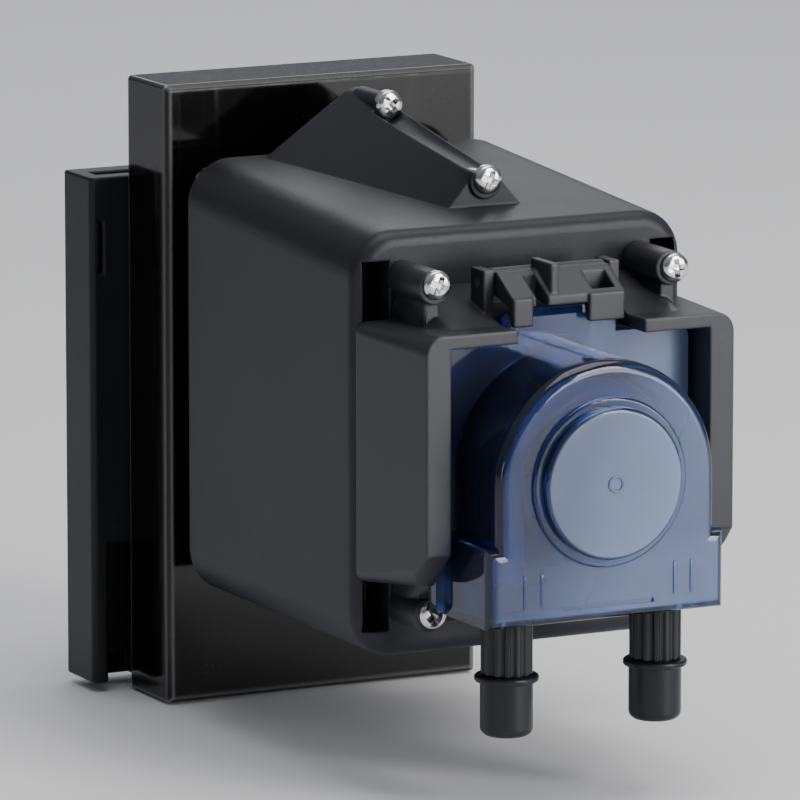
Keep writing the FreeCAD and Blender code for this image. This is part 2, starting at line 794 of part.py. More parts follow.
def gear(teeth, addendum, y0, y1, x, z, phase_deg, bore):
    """Spur gear with involute flanks, a tooth centred on phase_deg from +X towards +Z."""
    pitch_r = gear_module * teeth / 2
    base_r = pitch_r * math.cos(math.radians(pressure_deg))
    tip_r = pitch_r + addendum * gear_module
    root_r = pitch_r - dedendum * gear_module
    half_tooth = math.pi / (2 * teeth) - tooth_thinning / (2 * pitch_r)
    at_pitch = half_tooth + involute(base_r, pitch_r)
    start_r = max(base_r, root_r) + 0.001
    radii = [start_r + (tip_r - start_r) * i / 5 for i in range(6)]
    edges = []
    for n in range(teeth):
        mid = math.radians(phase_deg) + 2 * math.pi * n / teeth
        flank = [(r, at_pitch - involute(base_r, r)) for r in radii]
        right = [round_point(x, y0, z, r, mid - a) for r, a in flank]
        left = [round_point(x, y0, z, r, mid + a) for r, a in reversed(flank)]
        foot_angle = flank[0][1]
        next_mid = mid + 2 * math.pi / teeth
        foot_a = round_point(x, y0, z, root_r, mid - foot_angle)
        foot_b = round_point(x, y0, z, root_r, mid + foot_angle)
        foot_c = round_point(x, y0, z, root_r, next_mid - foot_angle)
        if start_r > root_r + 0.01:
            edges.append(Part.makeLine(foot_a, right[0]))
        curve = Part.BSplineCurve()
        curve.interpolate(right)
        edges.append(curve.toShape())
        edges.append(Part.Arc(right[-1], round_point(x, y0, z, tip_r, mid), left[0]).toShape())
        curve = Part.BSplineCurve()
        curve.interpolate(left)
        edges.append(curve.toShape())
        if start_r > root_r + 0.01:
            edges.append(Part.makeLine(left[-1], foot_b))
            root_start = foot_b
        else:
            root_start = left[-1]
            foot_c = round_point(x, y0, z, start_r, next_mid - foot_angle)
        mid_root = round_point(x, y0, z, root_start.sub(V(x, y0, z)).Length, (mid + next_mid) / 2)
        edges.append(Part.Arc(root_start, mid_root, foot_c).toShape())
    body = Part.Face(Part.Wire(edges)).extrude(V(0, y1 - y0, 0))
    return body.cut(rod_y(bore, y0 + 1, y1 - 1, x, z))


def half_pitch(teeth):
    """Half the angle between teeth, in degrees."""
    return 180.0 / teeth


def motor_can():
    """Drawn steel can with a front wall and a hole for the shaft."""
    body = rod_y(motor_r, motor_rear, gear_rear_outer)
    body = body.cut(rod_y(motor_r - motor_wall, motor_rear + 1, gear_rear_outer + motor_wall))
    return body.cut(rod_y(motor_shaft_r + run_gap, motor_rear, gear_rear_outer - 1))


def motor_end_cap():
    """Moulded cap with the rear bearing boss."""
    body = rod_y(motor_r, motor_rear + motor_cap, motor_rear)
    body = body.fuse(rod_y(motor_r - motor_wall - seat_gap, motor_rear, motor_rear - 3))
    return body.cut(rod_y(motor_shaft_r + run_gap, motor_rear - 5, motor_rear + motor_cap + 1))


def motor_stator():
    """Ring of magnets and iron inside the can."""
    middle = (motor_rear + gear_rear_outer) / 2
    reach = armature_length / 2
    ring = rod_y(motor_r - motor_wall - seat_gap, middle - reach, middle + reach)
    return ring.cut(rod_y(stator_in_r, middle - reach - 1, middle + reach + 1))


def armature():
    """Wound rotor of the motor, slotted along its length."""
    middle = (motor_rear + gear_rear_outer) / 2
    reach = armature_length / 2
    body = rod_y(armature_r, middle - reach, middle + reach)
    orbit = armature_r - slot_inset
    for i in range(slot_count):
        a = 2 * math.pi * i / slot_count
        body = body.cut(rod_y(slot_r, middle - reach - 1, middle + reach + 1,
                              orbit * math.cos(a), orbit * math.sin(a)))
    return body.cut(rod_y(motor_shaft_r, middle - reach - 1, middle + reach + 1))


def motor_shaft():
    """Steel shaft from the rear cap to the pinion."""
    return rod_y(motor_shaft_r, motor_rear + motor_cap - 0.5, wheel1_rear - pinion_width + 0.3)


def motor_pinion():
    """First pinion, a gap facing the countershaft wheel."""
    rear = wheel1_rear + 1.0
    return gear(pinion_teeth, pinion_addendum, rear, rear - pinion_width, 0, 0,
                90 + half_pitch(pinion_teeth), motor_shaft_r)


def counter_wheel():
    """First reduction wheel on the countershaft."""
    return gear(wheel_teeth, wheel_addendum, wheel1_rear, wheel1_rear - wheel_width,
                0, counter_z, 90, counter_shaft_r)


def counter_pinion():
    """Second pinion on the countershaft."""
    rear = wheel2_rear + 1.0
    return gear(pinion_teeth, pinion_addendum, rear, rear - pinion_width, 0, counter_z,
                90 + half_pitch(pinion_teeth), counter_shaft_r)


def counter_shaft():
    """Steel shaft carried by the two gear plates."""
    return rod_y(counter_shaft_r, gear_rear_outer - 0.2, gear_front_outer + 0.2, 0, counter_z)


def output_wheel():
    """Second reduction wheel on the drive shaft."""
    return gear(wheel_teeth, wheel_addendum, wheel2_rear, wheel2_rear - wheel_width, 0, 0, 90, shaft_r)


def gear_plate_shape(y0, y1):
    """A plate with rounded corners that carries the shafts."""
    body = rounded_block(gear_half_width, gear_plate_bottom, gear_plate_top, 5, y0, y1)
    for x, z in four(standoff_x, standoff_bottom_z, standoff_top_z):
        body = body.cut(rod_y(plate_screw_r, y0 + 1, y1 - 1, x, z))
    return body.cut(rod_y(counter_shaft_r + run_gap, y0 + 1, y1 - 1, 0, counter_z))


def gear_plate_rear():
    """Plate that the motor stands on."""
    body = gear_plate_shape(gear_rear_outer, gear_rear_inner)
    return body.cut(rod_y(motor_shaft_r + motor_bore_gap, gear_rear_outer + 1, gear_rear_inner - 1))


def gear_plate_front():
    """Plate that holds the drive shaft's inner bush."""
    body = gear_plate_shape(gear_front_inner, gear_front_outer)
    return body.cut(rod_y(bush_r, gear_front_inner + 1, gear_front_outer - 1))


def gear_standoffs():
    """Pillars between the two gear plates."""
    places = four(standoff_x, standoff_bottom_z, standoff_top_z)
    return [rod_y(standoff_r, gear_rear_inner, gear_front_inner, x, z).cut(
        rod_y(plate_screw_r, gear_rear_inner + 1, gear_front_inner - 1, x, z)) for x, z in places]


def gear_spacers():
    """Spacers between the front gear plate and the housing's front wall."""
    places = four(standoff_x, standoff_bottom_z, standoff_top_z)
    wall = housing_front + housing_wall
    return [rod_y(standoff_r, gear_front_outer, wall, x, z).cut(
        rod_y(plate_screw_r, gear_front_outer + 1, wall - 1, x, z)) for x, z in places]


def shaft_bush(y0, y1):
    """Bronze bush round the drive shaft."""
    return rod_y(bush_r, y0, y1).cut(rod_y(shaft_r + run_gap, y0 + 1, y1 - 1))


def board_left():
    """X of the control board's face nearest the housing's side."""
    return -(housing_half_width_front - housing_wall - board_standoff)


def board_place():
    """The control board's rear, front, bottom and top."""
    rear = housing_rear - board_setback
    return rear, rear - board_length, -board_height / 2 - board_drop, board_height / 2 - board_drop


def control_board():
    """Circuit board standing beside the motor."""
    rear, front, low, high = board_place()
    x = board_left()
    body = box(x, x + board_thick, rear, front, low, high)
    for y in (rear - board_corner, front + board_corner):
        for z in (low + board_corner, high - board_corner):
            body = body.cut(rod_x(board_hole_r, x - 1, x + board_thick + 1, y, z))
    return body


def board_spacers():
    """Four spacers between the board and the housing's side."""
    rear, front, low, high = board_place()
    x = board_left()
    spacers = []
    for y in (rear - board_corner, front + board_corner):
        for z in (low + board_corner, high - board_corner):
            spacer = rod_x(spacer_r, x - board_standoff + 2 * slide_gap, x, y, z)
            spacers.append(spacer.cut(rod_x(board_hole_r, x - board_standoff, x + 1, y, z)))
    return spacers


def terminal_block():
    """Row of terminals on the board for the supply cable."""
    rear, _, low, _ = board_place()
    depth, width, height = terminal_size
    x = board_left() + board_thick
    y = rear - 2 * board_corner
    body = box(x, x + depth, y, y - width, low + 1, low + 1 + height)
    edge = (width - terminal_pitch * (terminal_count - 1)) / 2
    for i in range(terminal_count):
        hole_y = y - edge - terminal_pitch * i
        body = body.cut(rod_x(terminal_hole_r, x + 2, x + depth + 1, hole_y, low + 1 + height / 2))
    return body


# ---- pump head --------------------------------------------------------------
def drive_shaft():
    """Shaft from the second wheel to the roller carrier."""
    front = head_y - roller_length / 2 - carrier_thick - slide_gap
    body = rod_y(shaft_r, wheel2_rear + 0.8, front)
    return body.cut(rod_y(shank_r + screw_gap, front - 1, front + hub_screw_length + 2))


def carrier_disc(y0, y1):
    """Round plate with pin holes."""
    body = rod_y(carrier_r, y0, y1)
    for x, z in roller_places():
        body = body.cut(rod_y(pin_r, y0 + 1, y1 - 1, x, z))
    return body.cut(rod_y(shaft_r, y0 + 1, y1 - 1))


def roller_places():
    """Centres of the rollers as (x, z)."""
    places = []
    for i in range(roller_count):
        a = math.radians(90 + 360 * i / roller_count)
        places.append((roller_orbit * math.cos(a), roller_orbit * math.sin(a)))
    return places


def carrier_faces():
    """Inner faces of the rear and front carrier discs."""
    reach = roller_length / 2 + slide_gap
    return head_y + reach, head_y - reach


def carrier_rear():
    """Rear carrier disc with its hub."""
    rear, _ = carrier_faces()
    hub_end = floor_front - slide_gap - 0.5
    body = carrier_disc(rear + carrier_thick, rear)
    hub = rod_y(shaft_r + hub_wall, hub_end, rear + carrier_thick).cut(rod_y(shaft_r, hub_end + 1, rear))
    return body.fuse(hub).removeSplitter()


def carrier_front():
    """Front carrier disc."""
    _, front = carrier_faces()
    return carrier_disc(front, front - carrier_thick)


def roller_pins():
    """The steel pins that the rollers turn on."""
    rear, front = carrier_faces()
    return [rod_y(pin_r, rear + carrier_thick, front - carrier_thick, x, z) for x, z in roller_places()]


def roller(x, z):
    """One roller with rounded ends."""
    reach = roller_length / 2
    body = rod_y(roller_r, head_y + reach, head_y - reach, x, z)
    rims = edges_in_plane(body, head_y + reach) + edges_in_plane(body, head_y - reach)
    body = body.makeFillet(roller_round, rims)
    return body.cut(rod_y(pin_r + run_gap, head_y + reach + 1, head_y - reach - 1, x, z))


def hub_screw():
    """Screw that holds the carrier on the shaft."""
    _, front = carrier_faces()
    seat = front - carrier_thick
    body = rod_y(hub_screw_r, seat, seat - hub_screw_height)
    body = body.makeFillet(1.0, edges_in_plane(body, seat - hub_screw_height))
    body = body.fuse(rod_y(shank_r, seat, seat + hub_screw_length))
    half = hub_slot_width / 2
    slot_floor = seat - hub_screw_height / 2
    return body.cut(box(-shaft_r, shaft_r, seat - hub_screw_height - 1, slot_floor, -half, half))


def head_outline(half_top, half_foot, shoulder, bottom):
    """Arch outline of the pump head: half round on top, straight sides, wider foot."""
    left = [V(-half_top, 0, 0), V(-half_top, 0, shoulder), V(-half_foot, 0, shoulder), V(-half_foot, 0, bottom)]
    points = left + [V(-p.x, 0, p.z) for p in reversed(left)]
    edges = [Part.makeLine(a, b) for a, b in zip(points, points[1:]) if a.sub(b).Length > 0.001]
    edges.append(Part.Arc(points[-1], V(0, 0, half_top), points[0]).toShape())
    return Part.Face(Part.Wire(edges))


def arch(half_top, half_foot, shoulder, bottom, y0, y1):
    """The head outline extruded from y0 to y1."""
    face = head_outline(half_top, half_foot, shoulder, bottom)
    face.translate(V(0, y0, 0))
    return face.extrude(V(0, y1 - y0, 0))


def track_radii():
    """Inner and outer radius of the tube track."""
    inner = loop_r + tube_r + track_gap
    return inner, inner + track_wall


def head_base():
    """Back plate, tube track and the saddle that holds the two ports."""
    inner, outer = track_radii()
    front = head_y - roller_length / 2 - 1.0
    saddle_bottom = cover_bottom + cover_wall + slide_gap
    foot = cover_foot_half_width - cover_wall - skin_gap
    half = window_half_width - 1
    plate = box(-half, half, floor_front, base_front, cover_bottom, window_top - 1)
    body = plate.fuse(arch(outer, outer, -10, -14, base_front, front))
    body = body.fuse(box(-foot, foot, base_front, front + 1, saddle_bottom, saddle_bottom + saddle_height))
    body = body.cut(rod_y(inner, base_front, front - 1))
    body = body.cut(box(-inner, inner, base_front, front - 1, 0, saddle_bottom + saddle_height))
    body = body.cut(rod_y(shaft_r + hub_wall + 0.7, floor_front + 1, base_front - 1))
    for side in (-1, 1):
        body = body.cut(rod_z(neck_r + screw_gap, saddle_bottom - 1, saddle_bottom + saddle_height + 1,
                              side * loop_r, head_y))
    return body.removeSplitter()


def tube_path(r):
    """A round bar of radius r along the tube's path: up, over and down."""
    low = tube_end_z()
    section = Part.Face(Part.Wire(Part.makeCircle(r, V(loop_r, head_y, 0), V(0, 0, 1))))
    body = section.revolve(V(0, head_y, 0), V(0, -1, 0), 180)
    for side in (-1, 1):
        body = body.fuse(rod_z(r, low, 0, side * loop_r, head_y))
    return body


def tube_end_z():
    """Where the tube's two ends stop, on top of the ports' collars."""
    return cover_bottom + cover_wall + slide_gap + saddle_height


def pump_tube():
    """Soft tube looped over the rollers."""
    cut = tube_path(tube_bore_r)
    return tube_path(tube_r).cut(cut).removeSplitter()


def port(side):
    """Moulded port: barb in the tube, neck in the saddle, ribbed body below, spigot for the nut."""
    x = side * loop_r
    top = tube_end_z()
    body_top = cover_bottom - slide_gap
    body_bottom = body_top - rib_body_length
    body = rod_z(tube_bore_r - screw_gap, top + barb_length, top, x, head_y)
    body = body.fuse(rod_z(neck_r, top, body_top, x, head_y))
    body = body.fuse(rod_z(rib_body_r, body_top, body_bottom, x, head_y))
    for i in range(rib_count):
        a = 2 * math.pi * i / rib_count
        gx = x + rib_orbit * math.cos(a)
        gy = head_y + rib_orbit * math.sin(a)
        body = body.cut(rod_z(rib_groove, body_top - rib_collar, body_bottom - 1, gx, gy))
    body = body.fuse(rod_z(spigot_r, body_bottom, body_bottom - spigot_length, x, head_y))
    body = body.cut(rod_z(port_bore_r, top + barb_length + 1, body_bottom - spigot_length - 1, x, head_y))
    return body.removeSplitter()


def port_bottom():
    """Underside of the ports' ribbed bodies."""
    return cover_bottom - slide_gap - rib_body_length


def port_nut(side):
    """Connecting nut: thin flange, plain barrel and a bore for the hose."""
    x = side * loop_r
    top = port_bottom() - slide_gap
    bottom = top - nut_length
    body = rod_z(nut_r, top, bottom, x, head_y)
    body = body.makeFillet(nut_round, [e for e in body.Edges if abs(e.BoundBox.ZMax - bottom) < 0.01])
    rim = rod_z(nut_flange_r, top, top - nut_flange, x, head_y)
    body = body.fuse(rim.makeFillet(nut_flange_round, [e for e in rim.Edges if len(e.Vertexes) == 1]))
    body = body.cut(rod_z(spigot_r + run_gap, top + 1, top - spigot_length, x, head_y))
    body = body.cut(rod_z(hose_r, bottom - 1, bottom + hose_depth, x, head_y))
    body = body.cut(rod_z(spigot_bore_r, bottom, top, x, head_y))
    return body.removeSplitter()


def head_cover():
    """See-through cover: flange with a tongue, deep drum over the track, raised round face."""
    _, outer_track = track_radii()
    drum_in = outer_track + skin_gap
    drum = drum_in + cover_wall
    front = drum_front
    foot = cover_foot_half_width
    body = arch(drum, foot, cover_shoulder, cover_bottom, cover_flange_front, front)
    body = body.makeFillet(cover_round, edges_in_plane(body, front))
    flange = rounded_block(window_half_width - cover_edge_gap, cover_bottom, window_top - cover_edge_gap,
                           cover_round, flange_rear_y, cover_flange_front)
    tongue = rounded_block(tongue_half_width, 0, tongue_top, tongue_corner, flange_rear_y, cover_flange_front)
    tongue_edges = [e for e in edges_in_plane(tongue, cover_flange_front)
                    if e.BoundBox.ZMin > tongue_top - 0.01]
    tongue = tongue.makeChamfer(tongue_bevel, tongue_edges)
    body = body.fuse(flange).fuse(tongue)
    ring = rod_y(ring_r, front + 1, front - ring_height)
    body = body.fuse(ring.makeFillet(ring_round, edges_in_plane(ring, front - ring_height)))
    disc = rod_y(disc_r, front + 1, front - disc_height)
    body = body.fuse(disc.makeFillet(disc_round, edges_in_plane(disc, front - disc_height)))
    w = cover_wall
    body = body.cut(arch(drum_in, foot - w, cover_shoulder - w, cover_bottom + w, flange_rear_y + 1, front + w))
    body = body.cut(rod_y(disc_r - w, front + w + 1, front - disc_height + w))
    for side in (-1, 1):
        x = side * loop_r
        slot = rod_z(neck_r + slide_gap, cover_bottom - 1, cover_bottom + w + 1, x, head_y)
        reach = neck_r + slide_gap
        slot = slot.fuse(box(x - reach, x + reach, head_y, flange_rear_y + 1,
                             cover_bottom - 1, cover_bottom + w + 1))
        body = body.cut(slot)
    low = cover_bottom + line_above
    half = line_half_width
    body = body.cut(box(-half, half, front - 1, front + line_depth, low, low + line_height))
    return body.removeSplitter()


# ---- cable gland ------------------------------------------------------------
def hexagon_x(r, x0, x1, y, z):
    """A hexagonal prism along X."""
    turns = [math.pi * i / 3 for i in range(6)]
    points = [(y + r * math.cos(a), z + r * math.sin(a)) for a in turns]
    return prism_x(points, x0, x1)


def cable_gland():
    """Threaded body through the housing's side, with its hexagon outside."""
    x = housing_half_width
    y = housing_rear - gland_y
    body = rod_x(gland_thread_r, x - housing_wall - gland_thread_in, x + gland_hex, y, gland_z)
    body = body.fuse(hexagon_x(gland_hex_r, x, x + gland_hex, y, gland_z))
    return body.cut(rod_x(cable_r, x - housing_wall - gland_thread_in - 1, x + gland_hex + 1, y, gland_z))


def gland_nut():
    """Inner locking nut."""
    x = housing_half_width - housing_wall
    y = housing_rear - gland_y
    nut = hexagon_x(gland_hex_r, x - 0.6 - gland_nut_thick, x - 0.6, y, gland_z)
    return nut.cut(rod_x(gland_thread_r + seat_gap, x - gland_nut_thick - 1, x + 1, y, gland_z))


def gland_cap():
    """Domed cap that grips the cable."""
    x = housing_half_width + gland_hex
    y = housing_rear - gland_y
    body = rod_x(gland_dome_r, x, x + gland_dome, y, gland_z)
    rim = [e for e in body.Edges if abs(e.BoundBox.XMin - x - gland_dome) < 0.01]
    body = body.makeFillet(gland_dome_round, rim)
    for i in range(gland_grip_count):
        a = 2 * math.pi * i / gland_grip_count
        body = body.cut(rod_x(gland_grip_r, x - 1, x + gland_grip_length,
                              y + gland_dome_r * math.cos(a), gland_z + gland_dome_r * math.sin(a)))
    return body.cut(rod_x(cable_r, x - 1, x + gland_dome + 1, y, gland_z))


# ---- the assembly -----------------------------------------------------------
def parts_list():
    """Every sub-part by name."""
    makers = [
        wall_bracket, slide_plate, slide_plate_screws, mounting_plate, plate_screws, back_cover,
        cover_screws, housing_gasket, housing, ridge_screws, front_bezel, bezel_screws, latch_pin,
        cover_latch, motor_can, motor_end_cap, motor_stator, armature, motor_shaft, motor_pinion,
        counter_wheel, counter_pinion, counter_shaft, output_wheel, gear_plate_rear, gear_plate_front,
        gear_standoffs, gear_spacers, control_board, board_spacers, terminal_block, drive_shaft,
        carrier_rear, carrier_front, roller_pins, hub_screw, head_base, pump_tube, head_cover,
        cable_gland, gland_nut, gland_cap,
    ]
    parts = {maker.__name__: maker() for maker in makers}
    parts["inner_bush"] = shaft_bush(gear_front_inner, gear_front_outer)
    parts["outer_bush"] = shaft_bush(floor_rear + bush_boss, floor_front)
    for name, side in (("inlet", -1), ("outlet", 1)):
        parts[name + "_port"] = port(side)
        parts[name + "_nut"] = port_nut(side)
    for i, (x, z) in enumerate(roller_places()):
        parts["roller_%d" % (i + 1)] = roller(x, z)
    return parts


def main():
    """Write each sub-part to its own file."""
    os.makedirs("parts", exist_ok=True)
    for name, shape in parts_list().items():
        if isinstance(shape, list):
            shape = Part.makeCompound(shape)
        shape.exportStep("parts/%s.step" % name)


main()
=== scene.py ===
"""Looks of the wall-mounted peristaltic pump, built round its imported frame.

Each sub-assembly is a class that holds its sizes, builds its meshes and dresses them.
Everything is in metres: +Z up, the wall at Y = 0, the pump head facing -Y.
"""

import json
import logging
import math
from dataclasses import dataclass
from enum import Enum

import bpy
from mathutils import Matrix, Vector


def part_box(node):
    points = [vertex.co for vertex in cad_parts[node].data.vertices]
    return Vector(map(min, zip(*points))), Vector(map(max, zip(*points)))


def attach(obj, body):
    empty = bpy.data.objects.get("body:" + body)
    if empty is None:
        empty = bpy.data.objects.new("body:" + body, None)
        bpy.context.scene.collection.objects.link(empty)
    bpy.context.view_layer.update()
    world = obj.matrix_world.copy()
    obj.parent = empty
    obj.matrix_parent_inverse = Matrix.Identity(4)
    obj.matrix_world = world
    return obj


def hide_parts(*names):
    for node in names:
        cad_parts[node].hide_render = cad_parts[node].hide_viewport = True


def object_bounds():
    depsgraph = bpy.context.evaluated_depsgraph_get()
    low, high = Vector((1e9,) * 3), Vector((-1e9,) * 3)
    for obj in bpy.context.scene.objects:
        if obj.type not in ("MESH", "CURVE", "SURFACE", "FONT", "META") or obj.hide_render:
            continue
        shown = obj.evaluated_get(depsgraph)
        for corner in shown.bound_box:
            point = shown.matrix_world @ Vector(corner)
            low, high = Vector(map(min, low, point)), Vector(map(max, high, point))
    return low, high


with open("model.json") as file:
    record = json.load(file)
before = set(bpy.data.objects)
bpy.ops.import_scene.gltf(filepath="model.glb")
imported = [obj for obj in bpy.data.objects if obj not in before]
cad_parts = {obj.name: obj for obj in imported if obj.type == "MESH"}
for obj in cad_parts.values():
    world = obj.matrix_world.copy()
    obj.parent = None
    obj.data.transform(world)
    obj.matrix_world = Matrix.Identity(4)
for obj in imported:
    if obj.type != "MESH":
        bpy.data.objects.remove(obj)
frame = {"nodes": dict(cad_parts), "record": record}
CAD_BOX = [list(corner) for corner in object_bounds()]
LOG = logging.getLogger("pump")
MM = 0.001
MERGE_DISTANCE = 0.002 * MM
FLAT_ANGLE = math.radians(0.3)
CREASE_ANGLE = math.radians(30.0)


# ---- shader building --------------------------------------------------------
class Val:
    """A shader value that ordinary sums can be written with."""

    def __init__(self, shade: "Shade", socket: bpy.types.NodeSocket) -> None:
        """Wraps a node's output socket."""
        self.shade = shade
        self.socket = socket

    def _sum(self, operation: str, first: "Val | float", second: "Val | float",
             clamp: bool = False) -> "Val":
        """Adds one Math node.

        Args:
            operation: the Math node's operation.
            first: its first value.
            second: its second value.
            clamp: whether the result is held between 0 and 1.

        Returns:
            The node's output.
        """
        settings = {"operation": operation, "use_clamp": clamp}
        return self.shade.node("ShaderNodeMath", settings, {0: first, 1: second})

    def __add__(self, other: "Val | float") -> "Val":
        """self + other"""
        return self._sum("ADD", self, other)

    __radd__ = __add__

    def __sub__(self, other: "Val | float") -> "Val":
        """self - other"""
        return self._sum("SUBTRACT", self, other)

    def __rsub__(self, other: float) -> "Val":
        """other - self"""
        return self._sum("SUBTRACT", other, self)

    def __mul__(self, other: "Val | float") -> "Val":
        """self * other"""
        return self._sum("MULTIPLY", self, other)

    __rmul__ = __mul__

    def __pow__(self, other: float) -> "Val":
        """self ** other"""
        return self._sum("POWER", self, other)

    def clamped(self) -> "Val":
        """The value held between 0 and 1."""
        return self._sum("ADD", self, 0.0, clamp=True)

    def above(self, edge: float, softness: float) -> "Val":
        """A mask that rises from 0 to 1 over softness, centred on edge."""
        return ((self - (edge - softness / 2)) * (1.0 / softness)).clamped()

    def below(self, edge: float, softness: float) -> "Val":
        """The opposite mask of above."""
        return 1.0 - self.above(edge, softness)


class Shade:
    """The node tree of a material or of the surroundings, under construction."""

    def __init__(self, owner: bpy.types.Material | bpy.types.World) -> None:
        """Empties the owner's node tree.

        Args:
            owner: the material or world that the nodes belong to.
        """
        owner.use_nodes = True
        self.owner = owner
        self.tree = owner.node_tree
        self.tree.nodes.clear()

    def node(self, kind: str, settings: dict | None = None, inputs: dict | None = None,
             output: int | str = 0) -> Val:
        """Adds any node.

        Args:
            kind: the node's type.
            settings: attributes set first; "stops" fills a colour ramp.
            inputs: socket name or number to a value or a Val.
            output: which output is returned.

        Returns:
            The chosen output.
        """
        node = self.tree.nodes.new(kind)
        for key, value in (settings or {}).items():
            if key == "stops":
                ramp = node.color_ramp
                while len(ramp.elements) < len(value):
                    ramp.elements.new(0.5)
                for element, (place, colour) in zip(ramp.elements, value):
                    element.position = place
                    element.color = colour
            else:
                setattr(node, key, value)
        for key, value in (inputs or {}).items():
            socket = node.inputs[key]
            if isinstance(value, Val):
                self.tree.links.new(value.socket, socket)
            else:
                socket.default_value = value
        return Val(self, node.outputs[output])

    def place(self, scale: tuple[float, float, float] = (1, 1, 1)) -> Val:
        """Object coordinates, stretched by scale."""
        coords = self.node("ShaderNodeTexCoord", output="Object")
        return self.node("ShaderNodeMapping", {}, {"Vector": coords, "Scale": scale})

    def noise(self, scale: float, detail: float = 3.0,
              stretch: tuple[float, float, float] = (1, 1, 1)) -> Val:
        """Fractal noise over Object coordinates, about 0 to 1."""
        inputs = {"Vector": self.place(stretch), "Scale": scale, "Detail": detail}
        return self.node("ShaderNodeTexNoise", {}, inputs)

    def cells(self, scale: float) -> Val:
        """Distance to the nearest point of a cell pattern."""
        return self.node("ShaderNodeTexVoronoi", {}, {"Vector": self.place(), "Scale": scale}, "Distance")

    def axis(self, name: str) -> Val:
        """One Object coordinate, in metres."""
        coords = self.node("ShaderNodeTexCoord", output="Object")
        return self.node("ShaderNodeSeparateXYZ", {}, {"Vector": coords}, name)

    def edges(self, radius: float, gain: float = 3.0) -> Val:
        """A mask of the piece's edges and corners.

        Args:
            radius: how far the mask reaches from an edge, in metres.
            gain: how fast it rises to 1.

        Returns:
            The mask.
        """
        rounded = self.node("ShaderNodeBevel", {"samples": 4}, {"Radius": radius})
        flat = self.node("ShaderNodeNewGeometry", output="Normal")
        dot = {"operation": "DOT_PRODUCT"}
        same = self.node("ShaderNodeVectorMath", dot, {0: rounded, 1: flat}, "Value")
        return ((1.0 - same) * gain).clamped()

    def facing(self, way: tuple[float, float, float]) -> Val:
        """How squarely a face looks the given way, -1 to 1."""
        flat = self.node("ShaderNodeNewGeometry", output="Normal")
        return self.node("ShaderNodeVectorMath", {"operation": "DOT_PRODUCT"}, {0: flat, 1: way}, "Value")

    def blend(self, mask: Val | float, low: "Val | tuple", high: "Val | tuple") -> Val:
        """Mixes two colours by mask."""
        return self.node("ShaderNodeMix", {"data_type": "RGBA"}, {0: mask, 6: low, 7: high}, 2)

    def bump(self, height: Val, distance: float, strength: float = 1.0, normal: Val | None = None) -> Val:
        """A bumped normal.

        Args:
            height: the pattern that is raised.
            distance: its height in metres.
            strength: how much of the bump shows.
            normal: the normal that is bumped, or none for the piece's own.

        Returns:
            The new normal.
        """
        inputs = {"Height": height, "Distance": distance, "Strength": strength}
        if normal is not None:
            inputs["Normal"] = normal
        return self.node("ShaderNodeBump", {}, inputs)

    def surface(self, inputs: dict) -> Val:
        """A Principled shader."""
        return self.node("ShaderNodeBsdfPrincipled", {}, inputs)

    def mixed(self, mask: Val, first: Val, second: Val) -> Val:
        """Two shaders mixed by mask."""
        return self.node("ShaderNodeMixShader", {}, {0: mask, 1: first, 2: second})

    def finish(self, shader: Val,
               kind: str = "ShaderNodeOutputMaterial") -> bpy.types.Material | bpy.types.World:
        """Links the shader to a new output.

        Args:
            shader: the finished shader.
            kind: the output node's type.

        Returns:
            The owner of the node tree.
        """
        out = self.tree.nodes.new(kind)
        self.tree.links.new(shader.socket, out.inputs["Surface"])
        return self.owner


def new_shade(name: str) -> Shade:
    """The empty shade of a new material."""
    return Shade(bpy.data.materials.new(name))


def rgb(red: float, green: float, blue: float) -> tuple[float, float, float, float]:
    """An opaque linear colour."""
    return (red, green, blue, 1.0)


def lighter(colour: tuple, gain: float, lift: float = 0.0) -> tuple[float, float, float, float]:
    """A colour multiplied by gain and raised by lift."""
    return tuple(min(1.0, c * gain + lift) for c in colour[:3]) + (1.0,)


# ---- finishes ---------------------------------------------------------------
@dataclass(frozen=True)
class Moulded:
    """Injection-moulded plastic with a fine spark-eroded grain."""

    name: str
    colour: tuple
    roughness: float = 0.42
    grain: float = 2600.0
    grain_depth: float = 0.00004
    wear: float = 0.35
    shine: float = 0.5
    rounding: float = 0.0006

    def make(self) -> bpy.types.Material:
        """Builds the material.

        Returns:
            The new material.
        """
        shade = new_shade(self.name)
        grain = shade.noise(self.grain, 2.0)
        cloud = shade.noise(38.0, 3.0)
        rub = shade.noise(260.0, 4.0)
        edge = shade.edges(0.0011) * rub.above(0.42, 0.3)
        rounded = shade.node("ShaderNodeBevel", {"samples": 4}, {"Radius": self.rounding})
        body = shade.blend(cloud.above(0.5, 0.5), lighter(self.colour, 0.86), lighter(self.colour, 1.16))
        dust = rub.above(0.72, 0.1) * 0.18
        body = shade.blend(dust, body, lighter(self.colour, 1.5, 0.035))
        body = shade.blend(edge * self.wear, body, lighter(self.colour, 2.2, 0.05))
        rough = (cloud - 0.5) * 0.12 + (grain - 0.5) * 0.08 - edge * 0.1 + self.roughness
        return shade.finish(shade.surface({
            "Base Color": body, "Roughness": rough, "IOR": 1.5, "Specular IOR Level": self.shine,
            "Normal": shade.bump(grain + cloud * 0.3, self.grain_depth, 0.6, rounded)}))


